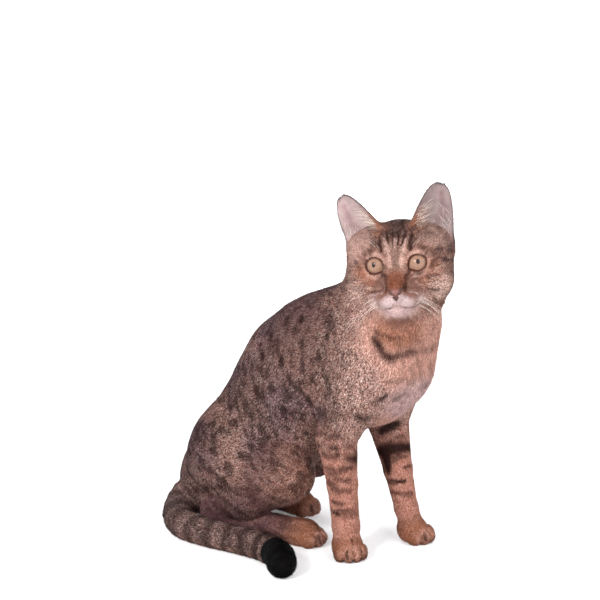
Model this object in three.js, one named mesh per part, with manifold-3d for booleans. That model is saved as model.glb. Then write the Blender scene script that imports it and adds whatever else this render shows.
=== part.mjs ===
// A young spotted tabby cat, life size, sitting upright with its tail laid round its right side and its head
// turned to its right. Millimetres, +Z up. The body faces -Y, its left side is +X, and the floor is Z = 0.
import * as THREE from "three";
import { mergeVertices } from "three/addons/utils/BufferGeometryUtils.js";
import Module from "manifold-3d";

const wasm = await Module();
wasm.setup();

// ---------------------------------------------------------------- driving dimensions

const CUT = 0.4; // gap between two neighbouring pieces
const REACH = 600; // size of a cutting block, larger than the cat
// Mesh size of each piece, finer where the form is finer.
const STEPS = { trunk: 20.4, neck: 15, head: 9, foreleg: 12, forepaw: 6.6, hindleg: 18, hindpaw: 9.5 };

// Every place is [forward, left, up] from the floor below the chest. A fourth number is the radius there,
// out to the tips of the coat.
const SPINE = {
  seat: [-166, -2, 40, 42],
  rump: [-151, 9, 62, 47],
  loin: [-125, 8, 88, 50.5],
  middle: [-96, 5, 124, 53.5],
  ribs: [-72, 2, 156, 58],
  shoulders: [-41, -3, 178, 53.5],
  chest: [-4, -6, 163, 44],
  breast: [14, -4, 178, 40.5],
  nape: [-5, 0, 212, 37.5],
  throat: [21, 0, 216, 37],
  neck: [22, 1, 248, 35],
};
const FORELEGS = {
  left: {
    shoulder: [10, 22, 166, 32],
    elbow: [-1, 31, 112, 20],
    forearm: [9.5, 32, 66, 13.8],
    wrist: [19, 31, 30, 11.4],
    paw: [30, 24, 10.5, 12],
    paw_turn: -8,
  },
  right: {
    shoulder: [2, -34, 164, 32],
    elbow: [-15, -44, 110, 19.5],
    forearm: [-8, -46, 68, 14.3],
    wrist: [-3, -48, 30, 12.8],
    paw: [1, -52, 10.5, 12.6],
    paw_turn: -42,
  },
};
const HINDLEGS = {
  left: {
    hip: [-152, 44, 78, 41],
    knee: [-100, 60, 66, 28],
    hock: [-190, 50, 19, 14],
    paw: [-108, 50, 10, 12.5],
    paw_turn: -4,
  },
  right: {
    hip: [-138, -24, 76, 40],
    knee: [-74, -42, 67, 29],
    hock: [-146, -46, 19, 14],
    paw: [-54, -36, 10.5, 13],
    paw_turn: 6,
  },
};
const TAIL = [
  [-170, 12, 44, 22],
  [-190, -10, 29, 19],
  [-189, -42, 17, 16],
  [-168, -71, 13.5, 14.5],
  [-136, -83, 12, 13.5],
  [-100, -88, 12, 13],
  [-66, -94, 12, 13],
  [-40, -108, 12.5, 13.5],
  [-24, -128, 13, 13.5],
  [-16, -141, 13.5, 12],
];
const TAIL_SIDES = 12;
const TAIL_RINGS = 23;
const TAIL_CUTS = [0.24, 0.72]; // shares of the length where the tail is divided

// Inside the head, a place is [towards the nose, left, up] from the middle between the ears.
const HEAD = { place: [30, -8, 264], yaw: -70, pitch: 2, roll: 5 };
const SKULL = [
  { centre: [-12, 0, 10], radii: [38, 38, 34] }, // cranium
  { centre: [11, 0, 8], radii: [19, 33, 19], blend: 12 }, // brow
  { centre: [-4, 24, -9], radii: [27, 24, 26], blend: 14, pair: true }, // cheek
  { centre: [-8, 28, 15], radii: [19, 20, 21], blend: 12, pair: true }, // below the ear
  { from: [12, 0, 4, 14], to: [39, 0, -13, 9.5], blend: 12 }, // bridge
  { from: [-8, 0, -22, 20], to: [23, 0, -30, 11], blend: 12 }, // jaw
  { centre: [33, 8.5, -23.5], radii: [12.5, 11, 8.5], blend: 10, pair: true }, // whisker pad
  { centre: [29, 0, -34], radii: [13, 10, 8], blend: 8 }, // chin
  { centre: [45, 0, -17], radii: [6, 7.5, 6], blend: 5 }, // nose
];
const EYE = { centre: [20, 17.5, 6.5], radius: 10.6, socket: 11 };
// An ear is a flap bent round its hollow. Its turn, tilt and lean are outward, outward and backward.
const EAR = { length: 49.5, half_width: 21, cup: 18, wall: 2.8, root: 7, gap: 0.9, steps: 8, across: 6 };
const EARS = {
  left: { base: [-8, 26, 26], turn: 18, tilt: 17, lean: 4 },
  right: { base: [-8, -23.2, 26], turn: -23, tilt: -34, lean: 4 },
};
// Cutting planes and blocks: where one named piece ends and the next begins.
const KNIVES = {
  head: { point: [20, -5, 232], yaw: -25, pitch: 62 }, // the yaw and pitch of the plane's normal
  neck: { point: [4, 0, 214], yaw: 0, pitch: 72 },
  elbow: { behind: -35, top: 103, between: -8 }, // between the two forelegs
  wrist: 24,
  heel: 22,
};
// A haunch seen from the side as [forward, up], and how far from the middle its inner side is.
const HAUNCH = {
  outline: [
    [-34, -12], [-26, 18], [-44, 34], [-50, 62], [-64, 92], [-96, 116],
    [-140, 128], [-184, 110], [-206, 68], [-208, 28], [-196, -12],
  ],
  middle: [-120, 60],
  flank: { left: 40, right: 28 },
  shift: { left: -22, right: 0 },
  sole: { left: 31, right: 14 }, // the inner side of the foot, ahead of the seat and below the belly
  sole_from: -124,
  sole_top: 36,
};
// Blocks in the head: what they hold is the lower jaw and the nose.
const JAW = { from: -2, half_width: 24, top: -29.5 };
const NOSE = { from: 44, half_width: 9, low: -23, high: -11 };

const COLOURS = {
  coat: 0x806458,
  face: 0xa67c71,
  pale: 0xb69795,
  limb: 0x9f7162,
  ear: 0xc3a5a4,
  nose: 0x8a5a56,
  eye: 0xb8a885,
  dark: 0x2c2326,
};

// ---------------------------------------------------------------- frames and places

/** A point of the part's frame from [forward, left, up]. */
const at = ([forward, left, up]) => new THREE.Vector3(left, -forward, up);
const degrees = THREE.MathUtils.degToRad;
const SIDES = { left: 1, right: -1 };

/** The direction that a yaw to the left and a pitch upward give. */
const heading = (yaw, pitch) =>
  new THREE.Vector3(1, 0, 0).applyMatrix4(frameOf(new THREE.Vector3(), yaw, pitch));

/** The forward, left and up axes of something turned left by yaw, raised by pitch and rolled left up. */
function frameOf(origin, yaw, pitch = 0, roll = 0) {
  return new THREE.Matrix4()
    .makeRotationZ(degrees(yaw - 90))
    .multiply(new THREE.Matrix4().makeRotationY(degrees(-pitch)))
    .multiply(new THREE.Matrix4().makeRotationX(degrees(roll)))
    .setPosition(origin);
}
const headFrame = frameOf(at(HEAD.place), HEAD.yaw, HEAD.pitch, HEAD.roll);
const inHead = ([nose, left, up]) => new THREE.Vector3(nose, left, up).applyMatrix4(headFrame);
const bodyFrame = frameOf(at([0, 0, 0]), 0);
const mirrored = ([a, b, c, ...rest], side) => [a, b * side, c, ...rest];

// ---------------------------------------------------------------- distance fields

/** Distance to a bone with its flesh: a ball swept from a to b while its radius goes from ra to rb. */
function bone(a, b, ra, rb) {
  const span = b.clone().sub(a);
  const squared = Math.max(span.lengthSq(), 1e-6);
  return (x, y, z) => {
    const dx = x - a.x;
    const dy = y - a.y;
    const dz = z - a.z;
    const along = (dx * span.x + dy * span.y + dz * span.z) / squared;
    const t = Math.min(1, Math.max(0, along));
    return Math.hypot(dx - span.x * t, dy - span.y * t, dz - span.z * t) - (ra + (rb - ra) * t);
  };
}

/** Distance to an ellipsoid with those radii along the axes of a frame. */
function lump(frame, [rx, ry, rz]) {
  const m = frame.clone().invert().elements;
  return (x, y, z) => {
    const px = (m[0] * x + m[4] * y + m[8] * z + m[12]) / rx;
    const py = (m[1] * x + m[5] * y + m[9] * z + m[13]) / ry;
    const pz = (m[2] * x + m[6] * y + m[10] * z + m[14]) / rz;
    const near = Math.hypot(px, py, pz);
    const slope = Math.hypot(px / rx, py / ry, pz / rz);
    return slope < 1e-9 ? -Math.min(rx, ry, rz) : (near * (near - 1)) / slope;
  };
}

/** The lower of two distances, rounded over a width of blend where they are near each other. */
function softMin(a, b, blend) {
  const h = Math.max(blend - Math.abs(a - b), 0) / blend;
  return Math.min(a, b) - (h * h * blend) / 4;
}

/** One field from a list of [field, blend], each joined to what comes before it. */
function joined(list) {
  return (x, y, z) => {
    let d = 1e6;
    for (const [field, blend] of list) d = softMin(d, field(x, y, z), blend);
    return d;
  };
}

/** Bones between neighbouring places of a chain. */
function chain(places, blend) {
  return places.slice(1).map((end, i) => {
    const start = places[i];
    return [bone(at(start), at(end), start[3], end[3]), blend];
  });
}

// ---------------------------------------------------------------- the flesh

/** A foot: a pad with four toes spread in front of it, pointing where turn says. */
function foot([forward, left, up, radius], turn) {
  const frame = frameOf(at([forward, left, 0]), turn);
  const moved = (x, y, z) => frame.clone().setPosition(new THREE.Vector3(x, y, z).applyMatrix4(frame));
  const pieces = [[lump(moved(0, 0, up), [radius + 4, radius + 1, radius]), 6]];
  for (const [ahead, aside] of [[8, -10.5], [13, -3.8], [13, 3.8], [8, 10.5]]) {
    pieces.push([lump(moved(ahead, aside, up - 3), [9, 5.8, 8.4]), 2.5]);
  }
  return pieces;
}

function foreleg({ shoulder, elbow, forearm, wrist, paw, paw_turn: turn }) {
  return [...chain([shoulder, elbow, forearm, wrist, paw], 9), ...foot(paw, turn)];
}

function hindleg({ hip, knee, hock, paw, paw_turn: turn }) {
  return [...chain([hip, knee], 14), ...chain([knee, hock, paw], 9), ...foot(paw, turn)];
}

const S = SPINE;
const torso = [
  ...chain([S.seat, S.rump, S.loin, S.middle, S.ribs, S.shoulders], 22),
  ...chain([S.shoulders, S.chest, S.breast], 22),
  ...chain([S.shoulders, S.nape, S.neck], 22),
  ...chain([S.breast, S.throat, S.neck], 22),
];

/** The pieces of the skull, with both sides of each pair. */
function skull() {
  const pieces = [];
  for (const { centre, radii, from, to, blend = 10, pair } of SKULL) {
    for (const side of pair ? [1, -1] : [1]) {
      const field = radii
        ? lump(headFrame.clone().setPosition(inHead(mirrored(centre, side))), radii)
        : bone(inHead(from), inHead(to), from[3], to[3]);
      pieces.push([field, blend]);
    }
  }
  return pieces;
}

const legs = {
  fore: { left: foreleg(FORELEGS.left), right: foreleg(FORELEGS.right) },
  hind: { left: hindleg(HINDLEGS.left), right: hindleg(HINDLEGS.right) },
};
const all = [legs.fore.left, legs.fore.right, legs.hind.left, legs.hind.right].flat();
const flesh = joined([...torso, ...all, [joined(skull()), 14]]);

// ---------------------------------------------------------------- surfaces

const CORNERS = Array.from({ length: 8 }, (_, i) => [i & 1, (i >> 1) & 1, i >> 2]);

/** Whether the corners of a cell that are set in a mask hang together along its edges. */
function hangsTogether(mask) {
  const start = CORNERS.findIndex((_, i) => mask & (1 << i));
  if (start < 0) return true;
  let seen = 1 << start;
  for (let pass = 0; pass < 4; pass++) {
    for (let i = 0; i < 8; i++) {
      if (!(seen & (1 << i))) continue;
      for (const step of [1, 2, 4]) seen |= mask & (1 << (i ^ step));
    }
  }
  return seen === mask;
}
const CLEAR = Array.from({ length: 256 }, (_, mask) => hangsTogether(mask) && hangsTogether(255 - mask));

/** The values of a field on a grid, kept positive on its walls, with every cell cut by one sheet only. */
function sampled(field, low, count, step) {
  const [nx, ny, nz] = count;
  const values = new Float64Array(nx * ny * nz);
  const index = (i, j, k) => i + nx * (j + ny * k);
  for (let k = 0; k < nz; k++) {
    for (let j = 0; j < ny; j++) {
      for (let i = 0; i < nx; i++) {
        const wall = i === 0 || j === 0 || k === 0 || i === nx - 1 || j === ny - 1 || k === nz - 1;
        const value = field(low.x + i * step, low.y + j * step, low.z + k * step);
        values[index(i, j, k)] = wall ? Math.max(value, step / 20) : value;
      }
    }
  }
  const corners = CORNERS.map(([i, j, k]) => index(i, j, k));
  for (let changed = true; changed; ) {
    changed = false;
    for (let k = 0; k < nz - 1; k++) {
      for (let j = 0; j < ny - 1; j++) {
        for (let i = 0; i < nx - 1; i++) {
          const here = corners.map((c) => c + index(i, j, k));
          const mask = here.reduce((m, c, bit) => m | (values[c] < 0 ? 1 << bit : 0), 0);
          if (CLEAR[mask]) continue;
          const inside = here.filter((c) => values[c] < 0);
          const weakest = inside.reduce((a, b) => (values[b] > values[a] ? b : a));
          values[weakest] = step / 100;
          changed = true;
        }
      }
    }
  }
  return { values, index, corners };
}

/** A closed triangle mesh of where a field is 0 in a box, with a vertex in each cell that it crosses. */
function surface(field, box, step) {
  const low = box.min;
  const size = box.getSize(new THREE.Vector3());
  const count = size.toArray().map((side) => Math.ceil(side / step) + 1);
  const { values, index, corners } = sampled(field, low, count, step);
  const [nx, ny, nz] = count;
  const vertexOf = new Int32Array(values.length).fill(-1);
  const positions = [];
  for (let k = 0; k < nz - 1; k++) {
    for (let j = 0; j < ny - 1; j++) {
      for (let i = 0; i < nx - 1; i++) {
        const cell = index(i, j, k);
        const sum = new THREE.Vector3();
        let crossings = 0;
        for (let a = 0; a < 8; a++) {
          for (const bit of [1, 2, 4]) {
            if (a & bit) continue;
            const va = values[cell + corners[a]];
            const vb = values[cell + corners[a | bit]];
            if (va < 0 === vb < 0) continue;
            const start = new THREE.Vector3(...CORNERS[a]);
            sum.add(start.lerp(new THREE.Vector3(...CORNERS[a | bit]), va / (va - vb)));
            crossings++;
          }
        }
        if (!crossings) continue;
        const inCell = sum.divideScalar(crossings);
        const place = new THREE.Vector3(i, j, k).add(inCell).multiplyScalar(step).add(low);
        vertexOf[cell] = positions.length / 3;
        positions.push(...settled(field, place, step * 0.4).toArray());
      }
    }
  }
  const triangles = [];
  const axes = [1, nx, nx * ny];
  for (let k = 0; k < nz - 1; k++) {
    for (let j = 0; j < ny - 1; j++) {
      for (let i = 0; i < nx - 1; i++) {
        const cell = index(i, j, k);
        axes.forEach((along, axis) => {
          const inside = values[cell] < 0;
          if (inside === values[cell + along] < 0) return;
          const u = axes[(axis + 1) % 3];
          const v = axes[(axis + 2) % 3];
          const ring = [cell, cell - u, cell - u - v, cell - v].map((c) => vertexOf[c]);
          if (!inside) ring.reverse();
          triangles.push(...halves(positions, ring));
        });
      }
    }
  }
  return solidOf(positions, triangles);
}

/** A place moved onto the surface along the field's slope, by no more than a limit. */
function settled(field, place, limit) {
  const h = 0.05;
  const { x, y, z } = place;
  const slope = new THREE.Vector3(
    field(x + h, y, z) - field(x - h, y, z),
    field(x, y + h, z) - field(x, y - h, z),
    field(x, y, z + h) - field(x, y, z - h),
  ).divideScalar(2 * h);
  const move = slope.multiplyScalar(-field(x, y, z) / Math.max(slope.lengthSq(), 0.01));
  return place.add(move.clampLength(0, limit));
}

/** Two triangles of a ring of four vertices, split along its shorter diagonal. */
function halves(positions, [a, b, c, d]) {
  const gap = (p, q) => Math.hypot(...[0, 1, 2].map((n) => positions[3 * p + n] - positions[3 * q + n]));
  return gap(a, c) < gap(b, d) ? [a, b, c, a, c, d] : [a, b, d, b, c, d];
}

function solidOf(positions, triangles) {
  const vertProperties = Float32Array.from(positions);
  const triVerts = Uint32Array.from(triangles);
  return new wasm.Manifold(new wasm.Mesh({ numProp: 3, vertProperties, triVerts }));
}

/** A solid from a three.js geometry, its doubled vertices merged. */
function solidFrom(geometry) {
  geometry.deleteAttribute("normal");
  geometry.deleteAttribute("uv");
  const merged = mergeVertices(geometry, 1e-4);
  return solidOf(merged.attributes.position.array, merged.index.array);
}

// ---------------------------------------------------------------- cutting blocks

/** Everything on one side of a plane: a large block whose face lies on it, pulled back by half a cut. */
function sideOf(point, normal, grow = -CUT / 2) {
  const direction = normal.clone().normalize();
  const block = new THREE.BoxGeometry(REACH, REACH, REACH);
  block.translate(0, 0, REACH / 2 - grow);
  block.applyQuaternion(new THREE.Quaternion().setFromUnitVectors(new THREE.Vector3(0, 0, 1), direction));
  return solidFrom(block.translate(point.x, point.y, point.z));
}

/** A block between two opposite corners in a frame, larger by grow on every side. */
function blockIn(frame, low, high, grow = -CUT / 2) {
  const size = high.map((value, n) => value - low[n] + 2 * grow);
  const middle = high.map((value, n) => (value + low[n]) / 2);
  const block = new THREE.BoxGeometry(...size).translate(...middle);
  return solidFrom(block.applyMatrix4(frame));
}

const ground = sideOf(new THREE.Vector3(), new THREE.Vector3(0, 0, 1), 0);

/** What belongs to a hind leg: the side view of its haunch, extruded outward from the flank, and its foot. */
function haunchBlock(side, grow = -CUT / 2) {
  const { outline, middle, flank, shift } = HAUNCH;
  const scale = 1 + grow / middle[1];
  const points = outline.map(([u, z]) => {
    return new THREE.Vector2(middle[0] + scale * (u - middle[0]), middle[1] + scale * (z - middle[1]));
  });
  const shape = new THREE.Shape([points[0]]).splineThru([...points.slice(1), points[0]]);
  const depth = REACH / 4;
  const block = new THREE.ExtrudeGeometry(shape, { depth, bevelEnabled: false, curveSegments: 30 });
  const start = side === "left" ? flank.left - grow + depth : grow - flank.right;
  const axes = new THREE.Matrix4().makeBasis(heading(0, 0), heading(0, 90), heading(-90, 0));
  const haunch = solidFrom(block.applyMatrix4(axes.setPosition(at([shift[side], start, 0]))));
  const { sole, sole_from: from, sole_top: top } = HAUNCH;
  const [low, high] = side === "left" ? [sole.left, depth] : [-depth, -sole.right];
  return haunch.add(blockIn(bodyFrame, [from, low, -REACH], [-15, high, top], grow));
}

// ---------------------------------------------------------------- ears and tail

/** A closed mesh from rings of places, the first and last closed by a strip from side to side. */
function lofted(rings) {
  const sides = rings[0].length;
  const positions = rings.flat().flatMap((p) => p.toArray());
  const triangles = [];
  for (let r = 0; r < rings.length - 1; r++) {
    for (let n = 0; n < sides; n++) {
      const m = (n + 1) % sides;
      const [a, b, c, d] = [r * sides + n, r * sides + m, (r + 1) * sides + m, (r + 1) * sides + n];
      triangles.push(a, b, c, a, c, d);
    }
  }
  for (const [ring, turn] of [[0, 1], [rings.length - 1, -1]]) {
    for (let n = 0; n < sides / 2; n++) {
      const [a, b, c, d] = [n, n + 1, sides - 1 - n, (sides - n) % sides].map((m) => ring * sides + m);
      const pair = [[a, b, c], [a, c, d]].filter((corners) => new Set(corners).size === 3);
      for (const corners of pair) triangles.push(...(turn > 0 ? corners.reverse() : corners));
    }
  }
  return solidOf(positions, triangles);
}

/** An ear's own frame: x towards where it opens, y towards the cat's left, z towards its tip. */
function earFrame({ base, turn, tilt, lean }) {
  const frame = headFrame.clone().setPosition(inHead(base));
  const [tip, back, about] = [tilt, lean, turn].map(degrees);
  return frame
    .multiply(new THREE.Matrix4().makeRotationX(-tip))
    .multiply(new THREE.Matrix4().makeRotationY(-back))
    .multiply(new THREE.Matrix4().makeRotationZ(about));
}

/** A cupped flap: each ring goes across its hollow and returns across its back, wall thinner to the rim. */
function earSolid(ear, grow = 0) {
  const { length, half_width: half, cup, wall, root, steps, across } = EAR;
  const frame = earFrame(ear);
  const rings = [];
  for (let s = 0; s <= steps; s++) {
    const height = s ? (length + root) * (s / steps) ** 0.9 * 0.995 - root : -root - grow;
    const share = Math.max(height, 0) / length;
    const width = half * (1 - share) ** 0.4;
    const depth = cup * (1 - share) ** 0.8;
    const ring = [];
    for (let n = 0; n < 2 * across; n++) {
      const inHollow = n < across;
      const t = inHollow ? (2 * n) / across - 1 : 1 - (2 * (n - across)) / across;
      const wide = t * (1 + grow / width);
      const thick = wall * (0.3 + 0.7 * Math.sqrt(1 - t * t)) * (1 - 0.5 * share) + 2 * grow;
      const offset = Math.abs(t) === 1 ? 0 : (inHollow ? 0.5 : -0.5) * thick;
      const place = new THREE.Vector3(depth * (wide ** 2 - 0.5) + offset, wide * width, height);
      ring.push(place.applyMatrix4(frame));
    }
    rings.push(ring);
  }
  return lofted(rings);
}

/** The tail as one round rope along its curve, its end drawn in to a blunt tip. */
function tailSolid(grow = 0) {
  const curve = tailCurve();
  const rings = [];
  for (let r = 0; r <= TAIL_RINGS; r++) {
    const t = r / TAIL_RINGS;
    const { position, side, rise, radius } = tailSection(curve, t);
    const ring = Array.from({ length: TAIL_SIDES }, (_, n) => {
      const angle = (2 * Math.PI * n) / TAIL_SIDES;
      const out = side.clone().multiplyScalar(Math.cos(angle)).addScaledVector(rise, Math.sin(angle));
      return position.clone().addScaledVector(out, radius + grow);
    });
    rings.push(ring);
  }
  return lofted(rings);
}

const tailCurve = () => new THREE.CatmullRomCurve3(TAIL.map(at), false, "centripetal");

function tailSection(curve, t) {
  const position = curve.getPointAt(t);
  const tangent = curve.getTangentAt(t);
  const side = new THREE.Vector3(0, 0, 1).cross(tangent).normalize();
  const rise = tangent.clone().cross(side);
  const place = curve.getUtoTmapping(t) * (TAIL.length - 1);
  const before = Math.min(Math.floor(place), TAIL.length - 2);
  const plain = THREE.MathUtils.lerp(TAIL[before][3], TAIL[before + 1][3], place - before);
  const toEnd = (1 - t) * curve.getLength();
  const rounding = toEnd < plain ? Math.sqrt(1 - (1 - toEnd / plain) ** 2) : 1;
  return { position, side, rise, radius: plain * Math.max(rounding, 0.12) };
}

// ---------------------------------------------------------------- the pieces

const cat = new THREE.Group();

function add(name, solid, colour, roughness = 0.95) {
  const { vertProperties, triVerts } = solid.getMesh();
  const geometry = new THREE.BufferGeometry();
  geometry.setAttribute("position", new THREE.BufferAttribute(vertProperties, 3));
  geometry.setIndex(new THREE.BufferAttribute(triVerts, 1));
  geometry.computeVertexNormals();
  const material = new THREE.MeshStandardMaterial({ color: colour, roughness, metalness: 0 });
  const mesh = new THREE.Mesh(geometry, material);
  mesh.name = name;
  cat.add(mesh);
}

// ---------------------------------------------------------------- the cat

/** A field between two corners, meshed in steps of one size and cut flat at the floor. */
function meshed(field, low, high, step) {
  const box = new THREE.Box3().setFromPoints([at(low), at(high)]);
  return surface(field, box, step).intersect(ground);
}
const planeOf = ({ point, yaw, pitch }) => [at(point), heading(yaw, pitch)];
const headPlane = planeOf(KNIVES.head);
const neckPlane = planeOf(KNIVES.neck);
const above = ([point, normal]) => sideOf(point, normal);
const below = ([point, normal]) => sideOf(point, normal.clone().negate());
const level = (height) => [at([0, 0, height]), heading(0, 90)];

// Head, with its sockets, and what sits in them.
const [hx, hy, hz] = HEAD.place;
let head = meshed(flesh, [hx - 75, hy - 75, hz - 70], [hx + 75, hy + 75, hz + 60], STEPS.head);
head = head.intersect(above(headPlane));
const jawBox = [[JAW.from, -JAW.half_width, -REACH], [REACH, JAW.half_width, JAW.top]];
const noseBox = [[NOSE.from, -NOSE.half_width, NOSE.low], [REACH, NOSE.half_width, NOSE.high]];
add("lower_jaw", head.intersect(blockIn(headFrame, ...jawBox)), COLOURS.pale);
add("nose", head.intersect(blockIn(headFrame, ...noseBox)), COLOURS.nose, 0.6);
head = head.subtract(blockIn(headFrame, ...jawBox, CUT / 2));
head = head.subtract(blockIn(headFrame, ...noseBox, CUT / 2));
for (const [side, sign] of Object.entries(SIDES)) {
  const centre = inHead(mirrored(EYE.centre, sign));
  const ball = (radius) => solidFrom(new THREE.SphereGeometry(radius, 14, 9).translate(...centre));
  head = head.subtract(ball(EYE.socket)).subtract(earSolid(EARS[side], EAR.gap));
  add(`eye_${side}`, ball(EYE.radius), COLOURS.eye, 0.1);
  add(`ear_${side}`, earSolid(EARS[side]), COLOURS.ear);
}
add("head", head, COLOURS.face);

// Neck and trunk.
const neck = meshed(flesh, [-60, -60, 170], [90, 70, 290], STEPS.neck);
add("neck", neck.intersect(below(headPlane)).intersect(above(neckPlane)), COLOURS.coat);
let trunk = meshed(flesh, [-230, -80, -8], [80, 90, 270], STEPS.trunk).intersect(below(neckPlane));

// Legs, each with its foot.
for (const [side, sign] of Object.entries(SIDES)) {
  const { behind, top, between } = KNIVES.elbow;
  const inner = [behind, between, -REACH];
  const outer = [REACH, between + sign * REACH, top];
  const low = inner.map((value, n) => Math.min(value, outer[n]));
  const high = inner.map((value, n) => Math.max(value, outer[n]));
  const foreBlock = (grow) => blockIn(bodyFrame, low, high, grow);
  trunk = trunk.subtract(foreBlock(CUT / 2)).subtract(haunchBlock(side, CUT / 2));

  const [wx, wy] = FORELEGS[side].wrist;
  const fore = joined([...torso, ...legs.fore[side]]);
  const upper = meshed(fore, [wx - 50, wy - 45, 10], [wx + 45, wy + 45, top + 10], STEPS.foreleg);
  const lower = meshed(fore, [wx - 35, wy - 45, -6], [wx + 50, wy + 40, 40], STEPS.forepaw);
  add(`foreleg_${side}`, upper.intersect(foreBlock()).intersect(above(level(KNIVES.wrist))), COLOURS.limb);
  add(`forepaw_${side}`, lower.intersect(foreBlock()).intersect(below(level(KNIVES.wrist))), COLOURS.limb);

  const hind = joined([...torso, ...legs.hind[side]]);
  const corner = [-230, sign > 0 ? 10 : -90];
  const haunch = haunchBlock(side).subtract(tailSolid(CUT));
  const thigh = meshed(hind, [...corner, 10], [-20, corner[1] + 95, 140], STEPS.hindleg);
  const shank = meshed(hind, [...corner, -6], [-15, corner[1] + 95, 45], STEPS.hindpaw);
  add(`hindleg_${side}`, thigh.intersect(haunch).intersect(above(level(KNIVES.heel))), COLOURS.coat);
  add(`hindpaw_${side}`, shank.intersect(haunch).intersect(below(level(KNIVES.heel))), COLOURS.limb);
}

// Tail, in three lengths parted square to its curve.
const tail = tailSolid().intersect(ground);
add("trunk", trunk.subtract(tailSolid(CUT)), COLOURS.coat);
const curve = tailCurve();
const [firstCut, secondCut] = TAIL_CUTS.map((t) => [curve.getPointAt(t), curve.getTangentAt(t)]);
add("tail_base", tail.intersect(below(firstCut)), COLOURS.coat);
add("tail_middle", tail.intersect(above(firstCut)).intersect(below(secondCut)), COLOURS.coat);
add("tail_tip", tail.intersect(above(secondCut)), COLOURS.dark);

// The origin is on the floor at the middle of the cat's box.
const centre = new THREE.Box3().setFromObject(cat).getCenter(new THREE.Vector3());
cat.position.set(-centre.x, -centre.y, 0);

const part = new THREE.Group();
part.add(cat);

export default part;
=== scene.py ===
"""A still, life-size model of a young spotted tabby cat: its skin, coat, eyes, nose and whiskers.

It is laid out as an add-on and run as a script. Sizes are in millimetres inside the cat's own axes and go
into the meshes in metres. Every place on the body is [forward, left, up] from the floor below the chest, and
every place on the head is [towards the nose, left, up] from the middle between the ears.
"""
import functools
from typing import NamedTuple

import bpy
import numpy as np
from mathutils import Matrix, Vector


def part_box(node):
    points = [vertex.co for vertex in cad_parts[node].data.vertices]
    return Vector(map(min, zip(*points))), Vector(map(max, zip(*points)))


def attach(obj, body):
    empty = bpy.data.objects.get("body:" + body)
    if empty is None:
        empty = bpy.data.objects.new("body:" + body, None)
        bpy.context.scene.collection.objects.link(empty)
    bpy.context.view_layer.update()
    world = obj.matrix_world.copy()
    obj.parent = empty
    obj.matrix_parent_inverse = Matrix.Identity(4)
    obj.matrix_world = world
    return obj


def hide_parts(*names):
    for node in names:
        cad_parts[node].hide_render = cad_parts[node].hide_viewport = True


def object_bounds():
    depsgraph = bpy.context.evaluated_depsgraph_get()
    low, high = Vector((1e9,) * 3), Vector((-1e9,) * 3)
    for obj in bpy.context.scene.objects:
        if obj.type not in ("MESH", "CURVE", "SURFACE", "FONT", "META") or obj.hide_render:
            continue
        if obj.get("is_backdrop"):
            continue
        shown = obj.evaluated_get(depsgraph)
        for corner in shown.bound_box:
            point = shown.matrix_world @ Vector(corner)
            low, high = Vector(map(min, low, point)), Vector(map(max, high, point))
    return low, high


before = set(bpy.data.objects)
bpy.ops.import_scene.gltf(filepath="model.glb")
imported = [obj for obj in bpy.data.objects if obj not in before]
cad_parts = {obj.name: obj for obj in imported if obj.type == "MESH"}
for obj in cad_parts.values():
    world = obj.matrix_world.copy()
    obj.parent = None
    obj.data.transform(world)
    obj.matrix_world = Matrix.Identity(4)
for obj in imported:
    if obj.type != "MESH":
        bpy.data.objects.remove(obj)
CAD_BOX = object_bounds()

bl_info = {
    "name": "Sitting Cat",
    "version": (1, 0, 0),
    "blender": (4, 5, 0),
    "location": "View3D > Sidebar > Cat",
    "description": "Skin, coat, eyes, nose and whiskers of a sitting spotted cat",
    "category": "Add Mesh",
}

MM = 0.001  # one millimetre in Blender's metres
SEED = 7

# ---------------------------------------------------------------- driving dimensions

# A fourth number is the radius there, out to the tips of the coat.
SPINE = {
    "seat": [-166, -2, 40, 42],
    "rump": [-151, 9, 62, 47],
    "loin": [-125, 8, 88, 50.5],
    "middle": [-96, 5, 124, 53.5],
    "ribs": [-72, 2, 156, 58],
    "shoulders": [-41, -3, 178, 53.5],
    "chest": [-4, -6, 163, 44],
    "breast": [14, -4, 178, 40.5],
    "nape": [-5, 0, 212, 37.5],
    "throat": [21, 0, 216, 37],
    "neck": [22, 1, 248, 35],
}
FORELEGS = {
    "left": {
        "shoulder": [10, 22, 166, 32],
        "elbow": [-1, 31, 112, 20],
        "forearm": [9.5, 32, 66, 13.8],
        "wrist": [19, 31, 30, 11.4],
        "paw": [30, 24, 10.5, 12],
        "turn": -8,
    },
    "right": {
        "shoulder": [2, -34, 164, 32],
        "elbow": [-15, -44, 110, 19.5],
        "forearm": [-8, -46, 68, 14.3],
        "wrist": [-3, -48, 30, 12.8],
        "paw": [1, -52, 10.5, 12.6],
        "turn": -42,
    },
}
HINDLEGS = {
    "left": {
        "hip": [-152, 44, 78, 41],
        "knee": [-100, 60, 66, 28],
        "hock": [-190, 50, 19, 14],
        "paw": [-108, 50, 10, 12.5],
        "turn": -4,
    },
    "right": {
        "hip": [-138, -24, 76, 40],
        "knee": [-74, -42, 67, 29],
        "hock": [-146, -46, 19, 14],
        "paw": [-54, -36, 10.5, 13],
        "turn": 6,
    },
}
TAIL = [
    [-170, 12, 44, 22],
    [-190, -10, 29, 19],
    [-189, -42, 17, 16],
    [-168, -71, 13.5, 14.5],
    [-136, -83, 12, 13.5],
    [-100, -88, 12, 13],
    [-66, -94, 12, 13],
    [-40, -108, 12.5, 13.5],
    [-24, -128, 13, 13.5],
    [-16, -141, 13.5, 12],
]
HEAD = {"place": [30, -8, 264], "yaw": -70, "pitch": 2, "roll": 5}
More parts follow.
